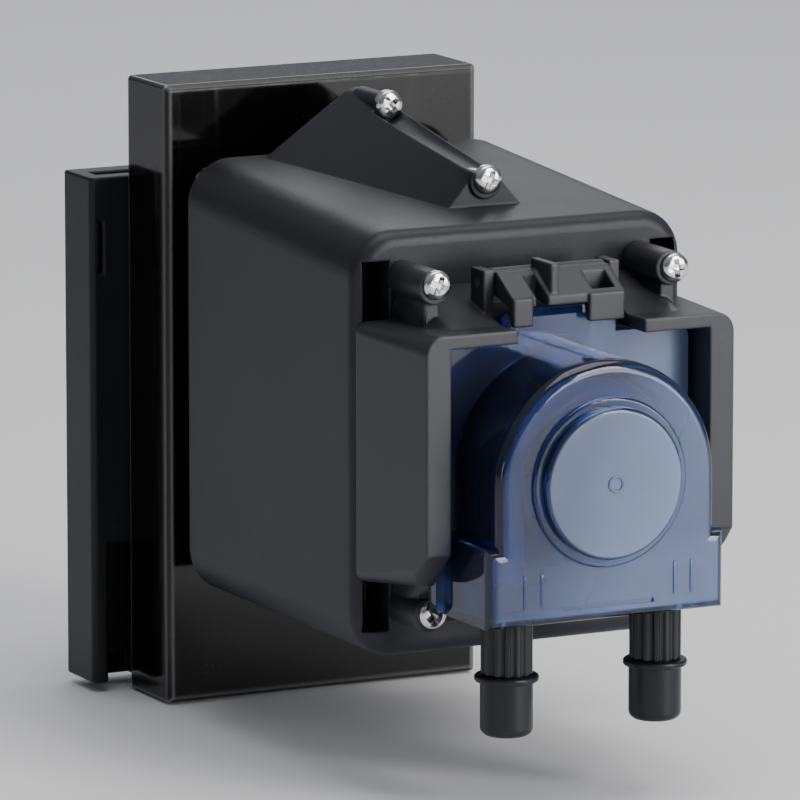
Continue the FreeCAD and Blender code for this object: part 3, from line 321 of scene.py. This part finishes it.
@dataclass(frozen=True)
class Gloss:
    """Polished moulding with faint waves, hairlines and dust, a painted highlight along its edges and a
    painted sheen on its upward faces.
    """

    name: str
    colour: tuple
    roughness: float = 0.1
    # painted highlight: how much lighter the edges and corners are made
    edge_light: float = 0.36
    # painted sheen: how much lighter the upward faces are made
    top_sheen: float = 0.14

    def make(self) -> bpy.types.Material:
        """Builds the material.

        Returns:
            The new material.
        """
        shade = new_shade(self.name)
        wave = shade.noise(22.0, 1.0)
        hair = shade.noise(420.0, 3.0, (1.0, 1.0, 0.05))
        dust = shade.cells(900.0).below(0.1, 0.08) * shade.noise(60.0, 2.0).above(0.55, 0.2)
        edge = shade.edges(0.0013, 9.0)
        upper = shade.facing((0.0, 0.0, 1.0)).above(0.9, 0.1)
        body = shade.blend(dust * 0.25, self.colour, lighter(self.colour, 1.0, 0.09))
        # painted highlight: a light line along every edge and corner, standing in for the light that a
        # rounded edge catches
        body = shade.blend(edge * 0.8, body, lighter(self.colour, 1.0, self.edge_light))
        # painted sheen: upward faces are lightened, standing in for the bright overhead surroundings that
        # they reflect
        body = shade.blend(upper * 0.6, body, lighter(self.colour, 1.0, self.top_sheen))
        rough = hair.above(0.62, 0.2) * 0.1 + dust * 0.25 + (wave - 0.5) * 0.06 + self.roughness
        return shade.finish(shade.surface({
            "Base Color": body, "Roughness": rough, "IOR": 1.5, "Specular IOR Level": 0.28,
            "Coat Weight": 0.08, "Coat Roughness": 0.05,
            "Normal": shade.bump(wave, 0.0004, 0.35)}))


@dataclass(frozen=True)
class Metal:
    """Turned, drawn or plated metal, with marks along one direction."""

    name: str
    colour: tuple
    roughness: float = 0.24
    grain: tuple = (1.0, 0.06, 1.0)
    marks: float = 1500.0
    stain: tuple = (0.25, 0.22, 0.18, 1.0)
    wear: float = 0.36

    def make(self) -> bpy.types.Material:
        """Builds the material.

        Returns:
            The new material.
        """
        shade = new_shade(self.name)
        line = shade.noise(self.marks, 3.0, self.grain)
        cloud = shade.noise(120.0, 4.0)
        edge = shade.edges(0.0004)
        body = shade.blend(cloud.above(0.6, 0.25) * self.wear, self.colour, self.stain)
        body = shade.blend(edge * 0.5, body, lighter(self.colour, 1.25))
        rough = ((line - 0.5) * 0.6 + (cloud - 0.5) * 0.4) * self.wear - edge * 0.06 + self.roughness
        return shade.finish(shade.surface({
            "Base Color": body, "Metallic": 1.0, "Roughness": rough,
            "Normal": shade.bump(line, 0.00002, self.wear * 1.4)}))


@dataclass(frozen=True)
class SmokedBlue:
    """See-through blue moulding, clear on the drum and frosted on its round face, with a painted sheen of
    milk on its front faces towards the right, low down and on the right half of the flange.
    """

    name: str
    clear: tuple = (0.045, 0.155, 0.56, 1.0)
    # colour of the milky layer: the frosted round face, and the painted sheen
    milk_and_sheen: tuple = (0.165, 0.22, 0.345, 1.0)
    face_radius: float = 0.0186
    face_front: float = -0.2025
    flange_front: float = -0.178
    ior: float = 1.49

    def make(self) -> bpy.types.Material:
        """Builds the material.

        Returns:
            The new material.
        """
        shade = new_shade(self.name)
        flow = shade.noise(26.0, 2.0, (1.0, 0.5, 1.0))
        hair = shade.noise(500.0, 3.0, (1.0, 1.0, 0.08))
        cloud = shade.noise(45.0, 3.0)
        x, z, y = shade.axis("X"), shade.axis("Z"), shade.axis("Y")
        radius = (x * x + z * z) ** 0.5
        disc = radius.below(self.face_radius, 0.0006) * y.below(self.face_front, 0.0008)
        front = shade.facing((0.0, -1.0, 0.0)).above(0.93, 0.08)
        flange = y.above(self.flange_front, 0.004)
        # painted sheen: front faces are made milkier towards the right, low down and on the right half of
        # the flange, standing in for the reflection of the lamps on the right
        right = (x - z * 0.45).above(0.004, 0.03)
        painted_sheen = right * 0.36 + z.below(-0.018, 0.008) * 0.1 + flange * x.above(0, 0.02) * 0.3
        tint = shade.blend(flow.above(0.5, 0.5), lighter(self.clear, 0.9), lighter(self.clear, 1.08))
        rough = hair.above(0.6, 0.3) * 0.06 + (flow - 0.5) * 0.04 + 0.05
        waves = shade.bump(flow, 0.0003, 0.25)
        clear = shade.surface({
            "Base Color": tint, "Roughness": rough, "IOR": self.ior,
            "Transmission Weight": 1.0, "Normal": waves})
        cream_and_sheen = shade.blend(flow.above(0.5, 0.6), self.milk_and_sheen, lighter(self.milk_and_sheen, 1.25))
        milk_and_sheen = shade.surface({
            "Base Color": cream_and_sheen, "Roughness": rough + 0.16, "IOR": self.ior,
            "Coat Weight": 0.3, "Coat Roughness": 0.08, "Normal": waves})
        # the frosted round face and the random cloud are the moulding's own; the front-face term is
        # painted sheen
        haze_and_sheen = (disc * 0.4 + front * (painted_sheen + 0.03) + cloud * 0.05 + 0.01).clamped()
        return shade.finish(shade.mixed(haze_and_sheen, clear, milk_and_sheen))


@dataclass(frozen=True)
class Elastomer:
    """Rubber or soft tube, with a waxy bloom."""

    name: str
    colour: tuple
    roughness: float = 0.5
    subsurface: float = 0.0

    def make(self) -> bpy.types.Material:
        """Builds the material.

        Returns:
            The new material.
        """
        shade = new_shade(self.name)
        bloom = shade.noise(90.0, 4.0)
        fine = shade.noise(1800.0, 2.0)
        worn, waxy = lighter(self.colour, 0.85), lighter(self.colour, 1.12, 0.01)
        body = shade.blend(bloom.above(0.5, 0.4), worn, waxy)
        rough = (bloom - 0.5) * 0.2 + (fine - 0.5) * 0.08 + self.roughness
        return shade.finish(shade.surface({
            "Base Color": body, "Roughness": rough, "Subsurface Weight": self.subsurface,
            "Subsurface Scale": 0.002, "Normal": shade.bump(fine + bloom, 0.00003, 0.5)}))


@dataclass(frozen=True)
class Board:
    """Circuit board: lacquer over tracks and pads."""

    name: str
    lacquer: tuple = (0.012, 0.09, 0.035, 1.0)
    copper: tuple = (0.03, 0.17, 0.06, 1.0)

    def make(self) -> bpy.types.Material:
        """Builds the material.

        Returns:
            The new material.
        """
        shade = new_shade(self.name)
        tracks = {"Vector": shade.place(), "Scale": 160.0, "Mortar Size": 0.03}
        brick = shade.node("ShaderNodeTexBrick", {}, tracks, "Fac")
        cloud = shade.noise(70.0, 3.0)
        body = shade.blend(brick, self.lacquer, self.copper)
        rough = cloud * 0.15 + 0.2
        return shade.finish(shade.surface({
            "Base Color": body, "Roughness": rough, "Normal": shade.bump(brick, 0.00003, 0.6)}))


@dataclass(frozen=True)
class Paper:
    """Matt pale floor."""

    name: str
    colour: tuple = (0.86, 0.86, 0.88, 1.0)

    def make(self) -> bpy.types.Material:
        """Builds the material.

        Returns:
            The new material.
        """
        shade = new_shade(self.name)
        cloud = shade.noise(3.0, 3.0)
        body = shade.blend(cloud, lighter(self.colour, 0.985), lighter(self.colour, 1.01))
        return shade.finish(shade.surface({"Base Color": body, "Roughness": cloud * 0.1 + 0.55}))


class Finish(Enum):
    """Every finish on the pump."""

    CASE_GREY = Moulded("case_grey", rgb(0.0155, 0.0178, 0.022), grain=2400.0, grain_depth=0.00005,
                        wear=0.22, shine=0.3, rounding=0.0008)
    HEAD_GREY = Moulded("head_grey", rgb(0.0215, 0.024, 0.029), roughness=0.38, grain=2800.0,
                        wear=0.25, shine=0.45, rounding=0.0009)
    BLACK_SATIN = Moulded("black_satin", rgb(0.0095, 0.0100, 0.0112), roughness=0.40, grain=2400.0,
                          grain_depth=0.00003, wear=0.25, shine=0.26)
    PORT_BLACK = Moulded("port_black", rgb(0.007, 0.009, 0.0105), roughness=0.33, grain=3000.0,
                         grain_depth=0.00003, wear=0.2, shine=0.35, rounding=0.0003)
    ACETAL = Moulded("acetal", rgb(0.62, 0.61, 0.56), roughness=0.38, grain=2000.0,
                     grain_depth=0.00003, wear=0.1, rounding=0.0002)
    BLACK_GLOSS = Gloss("black_gloss", rgb(0.0022, 0.0022, 0.0027))
    SMOKED_BLUE = SmokedBlue("smoked_blue")
    SCREW_STEEL = Metal("screw_steel", rgb(0.66, 0.66, 0.66), roughness=0.17, grain=(1, 0.3, 1),
                        marks=2200.0, stain=rgb(0.5, 0.49, 0.46), wear=0.1)
    SHAFT_STEEL = Metal("shaft_steel", rgb(0.56, 0.57, 0.58), roughness=0.22)
    MOTOR_STEEL = Metal("motor_steel", rgb(0.42, 0.43, 0.45), roughness=0.32, grain=(0.1, 1.0, 0.1),
                        marks=900.0)
    ZINC_PLATE = Metal("zinc_plate", rgb(0.52, 0.53, 0.55), roughness=0.36, grain=(1.0, 1.0, 0.1),
                       marks=700.0, stain=rgb(0.4, 0.38, 0.3))
    BRONZE = Metal("bronze", rgb(0.55, 0.34, 0.14), roughness=0.38, grain=(1.0, 1.0, 1.0),
                   marks=1200.0, stain=rgb(0.2, 0.1, 0.05))
    WINDING = Metal("winding", rgb(0.48, 0.19, 0.09), roughness=0.34, grain=(0.05, 1.0, 0.05),
                    marks=1800.0, stain=rgb(0.15, 0.06, 0.03))
    PUMP_TUBE = Elastomer("pump_tube_rubber", rgb(0.58, 0.52, 0.40), roughness=0.42, subsurface=0.35)
    SEAL = Elastomer("seal_rubber", rgb(0.02, 0.02, 0.02), roughness=0.6)
    BOARD = Board("board_lacquer")
    FLOOR = Paper("floor_paper")


_made: dict[str, bpy.types.Material] = {}


def material(finish: Finish) -> bpy.types.Material:
    """The finish's material, made once.

    Args:
        finish: which finish.

    Returns:
        The Blender material.
    """
    if finish.name not in _made:
        _made[finish.name] = finish.value.make()
    return _made[finish.name]


# ---- mesh tools -------------------------------------------------------------
def only(piece: bpy.types.Object) -> None:
    """Leaves one object selected and active.

    Args:
        piece: the object.
    """
    bpy.ops.object.select_all(action="DESELECT")
    bpy.context.view_layer.objects.active = piece
    piece.select_set(True)


def edit(piece: bpy.types.Object) -> None:
    """Enters edit mode on one object with nothing selected.

    Args:
        piece: the object.
    """
    only(piece)
    bpy.ops.object.mode_set(mode="EDIT")
    bpy.ops.mesh.select_all(action="DESELECT")


def leave() -> None:
    """Leaves edit mode."""
    bpy.ops.object.mode_set(mode="OBJECT")


def apply(piece: bpy.types.Object, kind: str, **settings: object) -> None:
    """Adds a modifier and applies it.

    Args:
        piece: the object to change.
        kind: the modifier's type.
        **settings: the modifier's settings.
    """
    only(piece)
    modifier = piece.modifiers.new(kind.lower(), kind)
    for key, value in settings.items():
        setattr(modifier, key, value)
    bpy.ops.object.modifier_apply(modifier=modifier.name)


def settle(piece: bpy.types.Object) -> None:
    """Moves an object's place into its mesh."""
    only(piece)
    bpy.ops.object.transform_apply(location=True, rotation=True, scale=True)


def dress(piece: bpy.types.Object, finish: Finish) -> None:
    """Gives an object one finish.

    Args:
        piece: the object.
        finish: its finish all over.
    """
    if piece.material_slots:
        for slot in piece.material_slots:
            slot.material = material(finish)
    else:
        piece.data.materials.append(material(finish))


def copied(piece: bpy.types.Object, name: str) -> bpy.types.Object:
    """Copies an object.

    Args:
        piece: the object.
        name: the copy's name.

    Returns:
        The copy, with its own mesh.
    """
    twin = piece.copy()
    twin.data = piece.data.copy()
    twin.name = name
    bpy.context.collection.objects.link(twin)
    return twin


def join(pieces: list[bpy.types.Object], name: str) -> bpy.types.Object:
    """Joins objects into the first one.

    Args:
        pieces: the objects.
        name: the new name.

    Returns:
        The joined object.
    """
    only(pieces[0])
    for piece in pieces[1:]:
        piece.select_set(True)
    if len(pieces) > 1:
        bpy.ops.object.join()
    pieces[0].name = name
    pieces[0].data.name = name
    return pieces[0]


def body_name(node: str) -> str:
    """The body that a node belongs to.

    Args:
        node: the node's name.

    Returns:
        The body's name.
    """
    for body, members in frame["record"]["behaviour"]["bodies"].items():
        if node in members:
            return body
    raise KeyError(node)


def slot_name(node: str) -> str:
    """The record's material slot of a node."""
    return next(part["material_slot"] for part in frame["record"]["subparts"] if part["node"] == node)


def soften(node: str, finish: Finish, width: float) -> bpy.types.Object:
    """Replaces a node by a copy whose sharp edges are rounded.

    Args:
        node: the node's name.
        finish: the finish of the new piece.
        width: how far each rounding reaches, in metres.

    Returns:
        The new piece.
    """
    piece = copied(frame["nodes"][node], node + "_moulding")
    edit(piece)
    bpy.ops.mesh.select_all(action="SELECT")
    bpy.ops.mesh.remove_doubles(threshold=MERGE_DISTANCE)
    bpy.ops.mesh.dissolve_limited(angle_limit=FLAT_ANGLE)
    leave()
    apply(piece, "BEVEL", width=width, segments=2, limit_method="ANGLE", angle_limit=CREASE_ANGLE,
          use_clamp_overlap=False, miter_outer="MITER_SHARP")
    apply(piece, "WEIGHTED_NORMAL", keep_sharp=True)
    dress(piece, finish)
    ride(piece, body_name(node), slot_name(node), node)
    return piece


def ride(piece: bpy.types.Object, body: str, slot: str, *nodes: str) -> None:
    """Rides a piece on its body, hides the nodes that it replaces and logs it.

    Args:
        piece: the finished object.
        body: the body that carries it.
        slot: the record's material slot; not used.
        *nodes: the nodes that it replaces.
    """
    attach(piece, body)
    if nodes:
        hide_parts(*nodes)
    LOG.info("%s on %s, %d faces", piece.name, body, len(piece.data.polygons))


def keep(finish: Finish, *nodes: str) -> None:
    """Dresses nodes whose shape stays as it is.

    Args:
        finish: their finish.
        *nodes: their names.
    """
    for node in nodes:
        dress(frame["nodes"][node], finish)
        LOG.info("%s kept", node)


# ---- sub-assemblies ---------------------------------------------------------
class Facing(Enum):
    """Which way a screw's head looks along Y."""

    FRONT = -1
    REAR = 1


@dataclass
class Screws:
    """Pan-head screws with a cross recess, all facing one way along Y."""

    facing: Facing = Facing.FRONT
    head_radius: float = 3.75 * MM
    head_height: float = 2.6 * MM
    rim_share: float = 0.55
    dome_steps: int = 5
    dome_turn: float = 17.0
    recess_span: float = 2.6 * MM
    recess_width: float = 0.85 * MM
    recess_depth: float = 1.8 * MM
    recess_taper: float = 0.7
    shank_radius: float = 2.0 * MM
    shank_sink: float = 0.1 * MM
    tip_round: float = 0.4 * MM
    first_turn: float = 23.0
    next_turn: float = 31.0

    def head(self) -> bpy.types.Object:
        """Makes one domed head.

        Returns:
            The head, upright, its underside in the plane Z = 0.
        """
        rim = self.head_height * self.rim_share
        bpy.ops.object.select_all(action="DESELECT")
        bpy.ops.mesh.primitive_cylinder_add(vertices=48, radius=self.head_radius, depth=rim,
                                            location=(0, 0, rim / 2))
        head = bpy.context.object
        edit(head)
        bpy.ops.mesh.select_mode(type="FACE")
        leave()
        top = max(head.data.polygons, key=lambda face: face.center.z)
        top.select = True
        bpy.ops.object.mode_set(mode="EDIT")
        for step in range(1, self.dome_steps + 1):
            turn = math.radians(self.dome_turn * step)
            before = math.radians(self.dome_turn * (step - 1))
            shrink = math.cos(turn) ** 0.5 / math.cos(before) ** 0.5
            rise = (self.head_height - rim) * (math.sin(turn) - math.sin(before))
            bpy.ops.mesh.extrude_region_move(TRANSFORM_OT_translate={"value": (0, 0, rise)})
            bpy.ops.transform.resize(value=(shrink, shrink, 1.0), center_override=(0, 0, 0))
        leave()
        for turn in (0.0, 90.0):
            self.cut_recess(head, turn)
        return head

    def cut_recess(self, head: bpy.types.Object, turn: float) -> None:
        """Cuts one tapered slot of the cross into a head.

        Args:
            head: the upright head.
            turn: the slot's turn about the screw, in degrees.
        """
        bpy.ops.object.select_all(action="DESELECT")
        middle = self.head_height - self.recess_depth * 0.4
        bpy.ops.mesh.primitive_cube_add(size=1.0, location=(0, 0, middle))
        wedge = bpy.context.object
        wedge.scale = (self.recess_span * 2, self.recess_width * 2, self.recess_depth * 1.3)
        wedge.rotation_euler = (0, 0, math.radians(turn))
        settle(wedge)
        for vertex in wedge.data.vertices:
            if vertex.co.z < middle:
                vertex.co.x *= self.recess_taper
                vertex.co.y *= self.recess_taper
        apply(head, "BOOLEAN", operation="DIFFERENCE", object=wedge, solver="EXACT")
        bpy.data.objects.remove(wedge)

    def screw(self, head: bpy.types.Object, low: Vector, high: Vector, spin: float) -> bpy.types.Object:
        """Makes one screw in its place.

        Args:
            head: an upright head, which becomes part of the screw.
            low: the lowest corner of the screw's box.
            high: its highest corner.
            spin: its turn about its own axis, in degrees.

        Returns:
            The screw.
        """
        way = self.facing.value
        top, tip = (low.y, high.y) if self.facing is Facing.FRONT else (high.y, low.y)
        seat = top - way * self.head_height
        length = abs(tip - seat)
        bpy.ops.object.select_all(action="DESELECT")
        bpy.ops.mesh.primitive_cylinder_add(vertices=24, radius=self.shank_radius, depth=length,
                                            location=(0, 0, -length / 2 + self.shank_sink))
        shank = bpy.context.object
        apply(shank, "BEVEL", width=self.tip_round, segments=2)
        screw = join([head, shank], head.name)
        screw.rotation_euler = (math.radians(-90.0 * way), 0, 0)
        settle(screw)
        screw.rotation_euler = (0, math.radians(spin), 0)
        screw.location = ((low.x + high.x) / 2, seat, (low.z + high.z) / 2)
        settle(screw)
        return screw

    def fit(self, node: str) -> None:
        """Replaces a node of screws by detailed ones.

        Args:
            node: the node's name.
        """
        pattern = self.head()
        made = []
        for number, (low, high) in enumerate(islands(frame["nodes"][node])):
            spin = self.first_turn + self.next_turn * number
            made.append(self.screw(copied(pattern, node + "_part"), low, high, spin))
        bpy.data.objects.remove(pattern)
        piece = join(made, node + "_turned")
        only(piece)
        bpy.ops.object.shade_smooth_by_angle(angle=math.radians(35))
        dress(piece, Finish.SCREW_STEEL)
        ride(piece, body_name(node), slot_name(node), node)


def islands(node: bpy.types.Object) -> list[tuple[Vector, Vector]]:
    """The boxes of the separate solids in a node.

    Args:
        node: a CAD node.

    Returns:
        The lowest and highest corner of each solid.
    """
    edit(copied(node, node.name + "_solids"))
    bpy.ops.mesh.select_all(action="SELECT")
    bpy.ops.mesh.remove_doubles(threshold=MERGE_DISTANCE)
    bpy.ops.mesh.separate(type="LOOSE")
    leave()
    boxes = []
    for piece in list(bpy.context.selected_objects):
        points = [vertex.co for vertex in piece.data.vertices]
        boxes.append((Vector([min(p[i] for p in points) for i in range(3)]),
                      Vector([max(p[i] for p in points) for i in range(3)])))
        bpy.data.objects.remove(piece)
    return sorted(boxes, key=lambda box: tuple(round(v, 5) for v in box[0]))


@dataclass
class WallMount:
    """Wall bracket, slide plate and the glossy mounting plate."""

    bracket_round: float = 0.7 * MM
    plate_round: float = 0.35 * MM

    def build(self) -> None:
        """Makes the mount's pieces."""
        soften("wall_bracket", Finish.BLACK_SATIN, self.bracket_round)
        soften("slide_plate", Finish.BLACK_SATIN, self.bracket_round)
        soften("mounting_plate", Finish.BLACK_GLOSS, self.plate_round)
        keep(Finish.SCREW_STEEL, "slide_plate_screws", "plate_screws")


@dataclass
class Case:
    """Back cover, housing, its screws and the cable gland."""

    wall_round: float = 0.25 * MM
    gland_round: float = 0.3 * MM

    def build(self) -> None:
        """Makes the case's pieces."""
        soften("back_cover", Finish.BLACK_SATIN, self.wall_round)
        soften("housing", Finish.CASE_GREY, self.wall_round)
        keep(Finish.SEAL, "housing_gasket")
        Screws().fit("ridge_screws")
        Screws(Facing.REAR).fit("cover_screws")
        for node in ("cable_gland", "gland_cap"):
            soften(node, Finish.BLACK_SATIN, self.gland_round)
        keep(Finish.BLACK_SATIN, "gland_nut")


@dataclass
class Drive:
    """Motor, gears, shafts and the control board inside the case."""

    def build(self) -> None:
        """Dresses the inner pieces."""
        keep(Finish.MOTOR_STEEL, "motor_can", "motor_stator")
        keep(Finish.BLACK_SATIN, "motor_end_cap", "terminal_block")
        keep(Finish.WINDING, "armature")
        keep(Finish.SHAFT_STEEL, "motor_shaft", "counter_shaft", "drive_shaft", "roller_pins")
        keep(Finish.BRONZE, "motor_pinion", "counter_pinion", "inner_bush", "outer_bush")
        keep(Finish.ACETAL, "counter_wheel", "output_wheel", "board_spacers")
        keep(Finish.ZINC_PLATE, "gear_plate_rear", "gear_plate_front", "gear_standoffs", "gear_spacers")
        keep(Finish.BOARD, "control_board")


@dataclass
class Head:
    """Front bezel, latch, tube track, rotor and the see-through cover."""

    bezel_round: float = 0.3 * MM
    latch_round: float = 0.35 * MM
    rib_size: tuple[float, float, float] = (0.8 * MM, 0.5 * MM, 8.5 * MM)
    rib_centres: tuple[float, ...] = (-23.6 * MM, -18.8 * MM, 18.8 * MM, 23.6 * MM)
    rib_height: float = -26.0 * MM
    rib_round: float = 0.2 * MM
    drum_face: float = -201.0 * MM
    ring_radius: float = 1.9 * MM
    ring_wire: float = 0.35 * MM

    def build(self) -> None:
        """Makes the head's pieces."""
        soften("front_bezel", Finish.HEAD_GREY, self.bezel_round)
        soften("cover_latch", Finish.HEAD_GREY, self.latch_round)
        Screws().fit("bezel_screws")
        keep(Finish.SHAFT_STEEL, "latch_pin")
        soften("head_base", Finish.BLACK_SATIN, self.latch_round)
        keep(Finish.PUMP_TUBE, "pump_tube")
        keep(Finish.BLACK_SATIN, "carrier_rear", "carrier_front")
        keep(Finish.ACETAL, "roller_1", "roller_2", "roller_3")
        keep(Finish.SCREW_STEEL, "hub_screw")
        keep(Finish.SMOKED_BLUE, "head_cover")
        self.centre_ring()
        self.foot_ribs()

    def centre_ring(self) -> None:
        """The small raised ring at the middle of the cover's round face."""
        low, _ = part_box("head_cover")
        bpy.ops.object.select_all(action="DESELECT")
        bpy.ops.mesh.primitive_torus_add(major_radius=self.ring_radius, minor_radius=self.ring_wire,
                                         major_segments=48, minor_segments=12,
                                         location=(0, low[1], 0), rotation=(math.radians(90), 0, 0))
        ring = bpy.context.object
        ring.name = "cover_centre_ring"
        settle(ring)
        bpy.ops.object.shade_smooth()
        dress(ring, Finish.SMOKED_BLUE)
        ride(ring, "cover", "blue_clear")

    def foot_ribs(self) -> None:
        """Short upright ribs on the cover's foot, over the two ports."""
        bpy.ops.object.select_all(action="DESELECT")
        bpy.ops.mesh.primitive_cube_add(size=1.0, location=(0, self.drum_face, self.rib_height))
        pattern = bpy.context.object
        pattern.scale = self.rib_size
        settle(pattern)
        apply(pattern, "BEVEL", width=self.rib_round, segments=3)
        ribs = []
        for x in self.rib_centres:
            rib = copied(pattern, "cover_foot_ribs_part")
            rib.location.x = x
            settle(rib)
            ribs.append(rib)
        bpy.data.objects.remove(pattern)
        piece = join(ribs, "cover_foot_ribs")
        only(piece)
        bpy.ops.object.shade_smooth_by_angle(angle=math.radians(40))
        dress(piece, Finish.SMOKED_BLUE)
        ride(piece, "cover", "blue_clear")


@dataclass
class Ports:
    """The two ports with their connecting nuts."""

    port_round: float = 0.2 * MM

    def build(self) -> None:
        """Makes the ports and nuts."""
        for side in ("inlet", "outlet"):
            for piece in ("_port", "_nut"):
                soften(side + piece, Finish.PORT_BLACK, self.port_round)


# ---- studio -----------------------------------------------------------------
@dataclass
class Lamp:
    """One soft panel light."""

    name: str
    place: tuple[float, float, float]
    size: tuple[float, float]
    watts: float
    colour: tuple[float, float, float] = (1.0, 1.0, 1.0)

    def build(self, aim: Vector) -> None:
        """Adds the light.

        Args:
            aim: the point that it faces.
        """
        data = bpy.data.lights.new(self.name, "AREA")
        data.shape = "RECTANGLE"
        data.size, data.size_y = self.size
        data.energy = self.watts
        data.color = self.colour
        lamp = bpy.data.objects.new(self.name, data)
        bpy.context.collection.objects.link(lamp)
        lamp.location = self.place
        lamp.rotation_mode = "QUATERNION"
        lamp.rotation_quaternion = (aim - Vector(self.place)).to_track_quat("-Z", "Y")


@dataclass
class Studio:
    """Pale floor, soft light and the camera."""

    azimuth: float = -28.5
    elevation: float = 11.0
    distance: float = 2.036
    lens: float = 368.0
    aim_offset: tuple[float, float, float] = (-0.0116, 0.0, 0.0061)
    floor_size: float = 14.0
    floor_gap: float = 0.4 * MM
    horizon: tuple = rgb(0.27, 0.30, 0.35)
    overhead: tuple = rgb(0.95, 0.96, 1.0)
    sky_start: float = 0.75
    sky_strength: float = 0.34
    lamps: tuple[Lamp, ...] = (
        Lamp("key_panel", (0.9, -1.9, 0.95), (0.8, 0.8), 26.0, (1.0, 0.99, 0.97)),
        Lamp("low_panel", (0.85, -1.5, 0.17), (1.0, 0.42), 12.0),
        Lamp("top_panel", (0.25, -0.25, 1.7), (1.4, 1.4), 20.0),
        Lamp("left_strip", (-1.9, -1.05, 0.12), (0.14, 0.38), 1.4, (0.95, 0.97, 1.0)),
        Lamp("rear_fill", (0.9, 1.6, 1.0), (1.2, 0.8), 5.0),
    )

    def build(self) -> None:
        """Sets up everything round the pump."""
        low, high = (Vector(corner) for corner in CAD_BOX)
        centre = (low + high) / 2
        self.floor(low.z)
        for lamp in self.lamps:
            lamp.build(centre)
        self.world()
        self.camera(centre)

    def floor(self, height: float) -> None:
        """Lays a large pale floor just below the pump.

        Args:
            height: the pump's lowest point.
        """
        bpy.ops.object.select_all(action="DESELECT")
        bpy.ops.mesh.primitive_plane_add(size=self.floor_size, location=(0, 0, height - self.floor_gap))
        floor = bpy.context.object
        floor.name = "floor"
        settle(floor)
        dress(floor, Finish.FLOOR)

    def world(self) -> None:
        """Surroundings that are brighter overhead than at eye level."""
        world = bpy.data.worlds.new("studio")
        bpy.context.scene.world = world
        shade = Shade(world)
        coords = shade.node("ShaderNodeTexCoord", output="Generated")
        height = shade.node("ShaderNodeSeparateXYZ", {}, {0: coords}, "Z")
        stops = ((0.0, self.horizon), (self.sky_start, self.overhead))
        colour = shade.node("ShaderNodeValToRGB", {"stops": stops}, {0: height})
        sky = shade.node("ShaderNodeBackground", {}, {"Color": colour, "Strength": self.sky_strength})
        shade.finish(sky, "ShaderNodeOutputWorld")

    def camera(self, centre: Vector) -> None:
        """Sets a long lens to the front left, a little above.

        Args:
            centre: the middle of the pump's box.
        """
        data = bpy.data.cameras.new("camera")
        data.lens = self.lens
        data.clip_end = 50.0
        camera = bpy.data.objects.new("camera", data)
        bpy.context.collection.objects.link(camera)
        turn, rise = math.radians(self.azimuth), math.radians(self.elevation)
        back = Vector((math.sin(turn) * math.cos(rise), -math.cos(turn) * math.cos(rise), math.sin(rise)))
        front = Vector((0, CAD_BOX[0][1], 0))
        camera.location = front + back * self.distance
        camera.rotation_mode = "QUATERNION"
        aim = centre + Vector(self.aim_offset)
        camera.rotation_quaternion = (camera.location - aim).to_track_quat("Z", "Y")
        bpy.context.scene.camera = camera


def main() -> None:
    """Builds the pump's looks and the studio."""
    logging.basicConfig(level=logging.INFO, format="%(name)s: %(message)s")
    bpy.ops.object.select_all(action="DESELECT")
    for assembly in (WallMount(), Case(), Drive(), Head(), Ports(), Studio()):
        LOG.info("building %s", type(assembly).__name__)
        assembly.build()


if __name__ == "__main__":
    main()
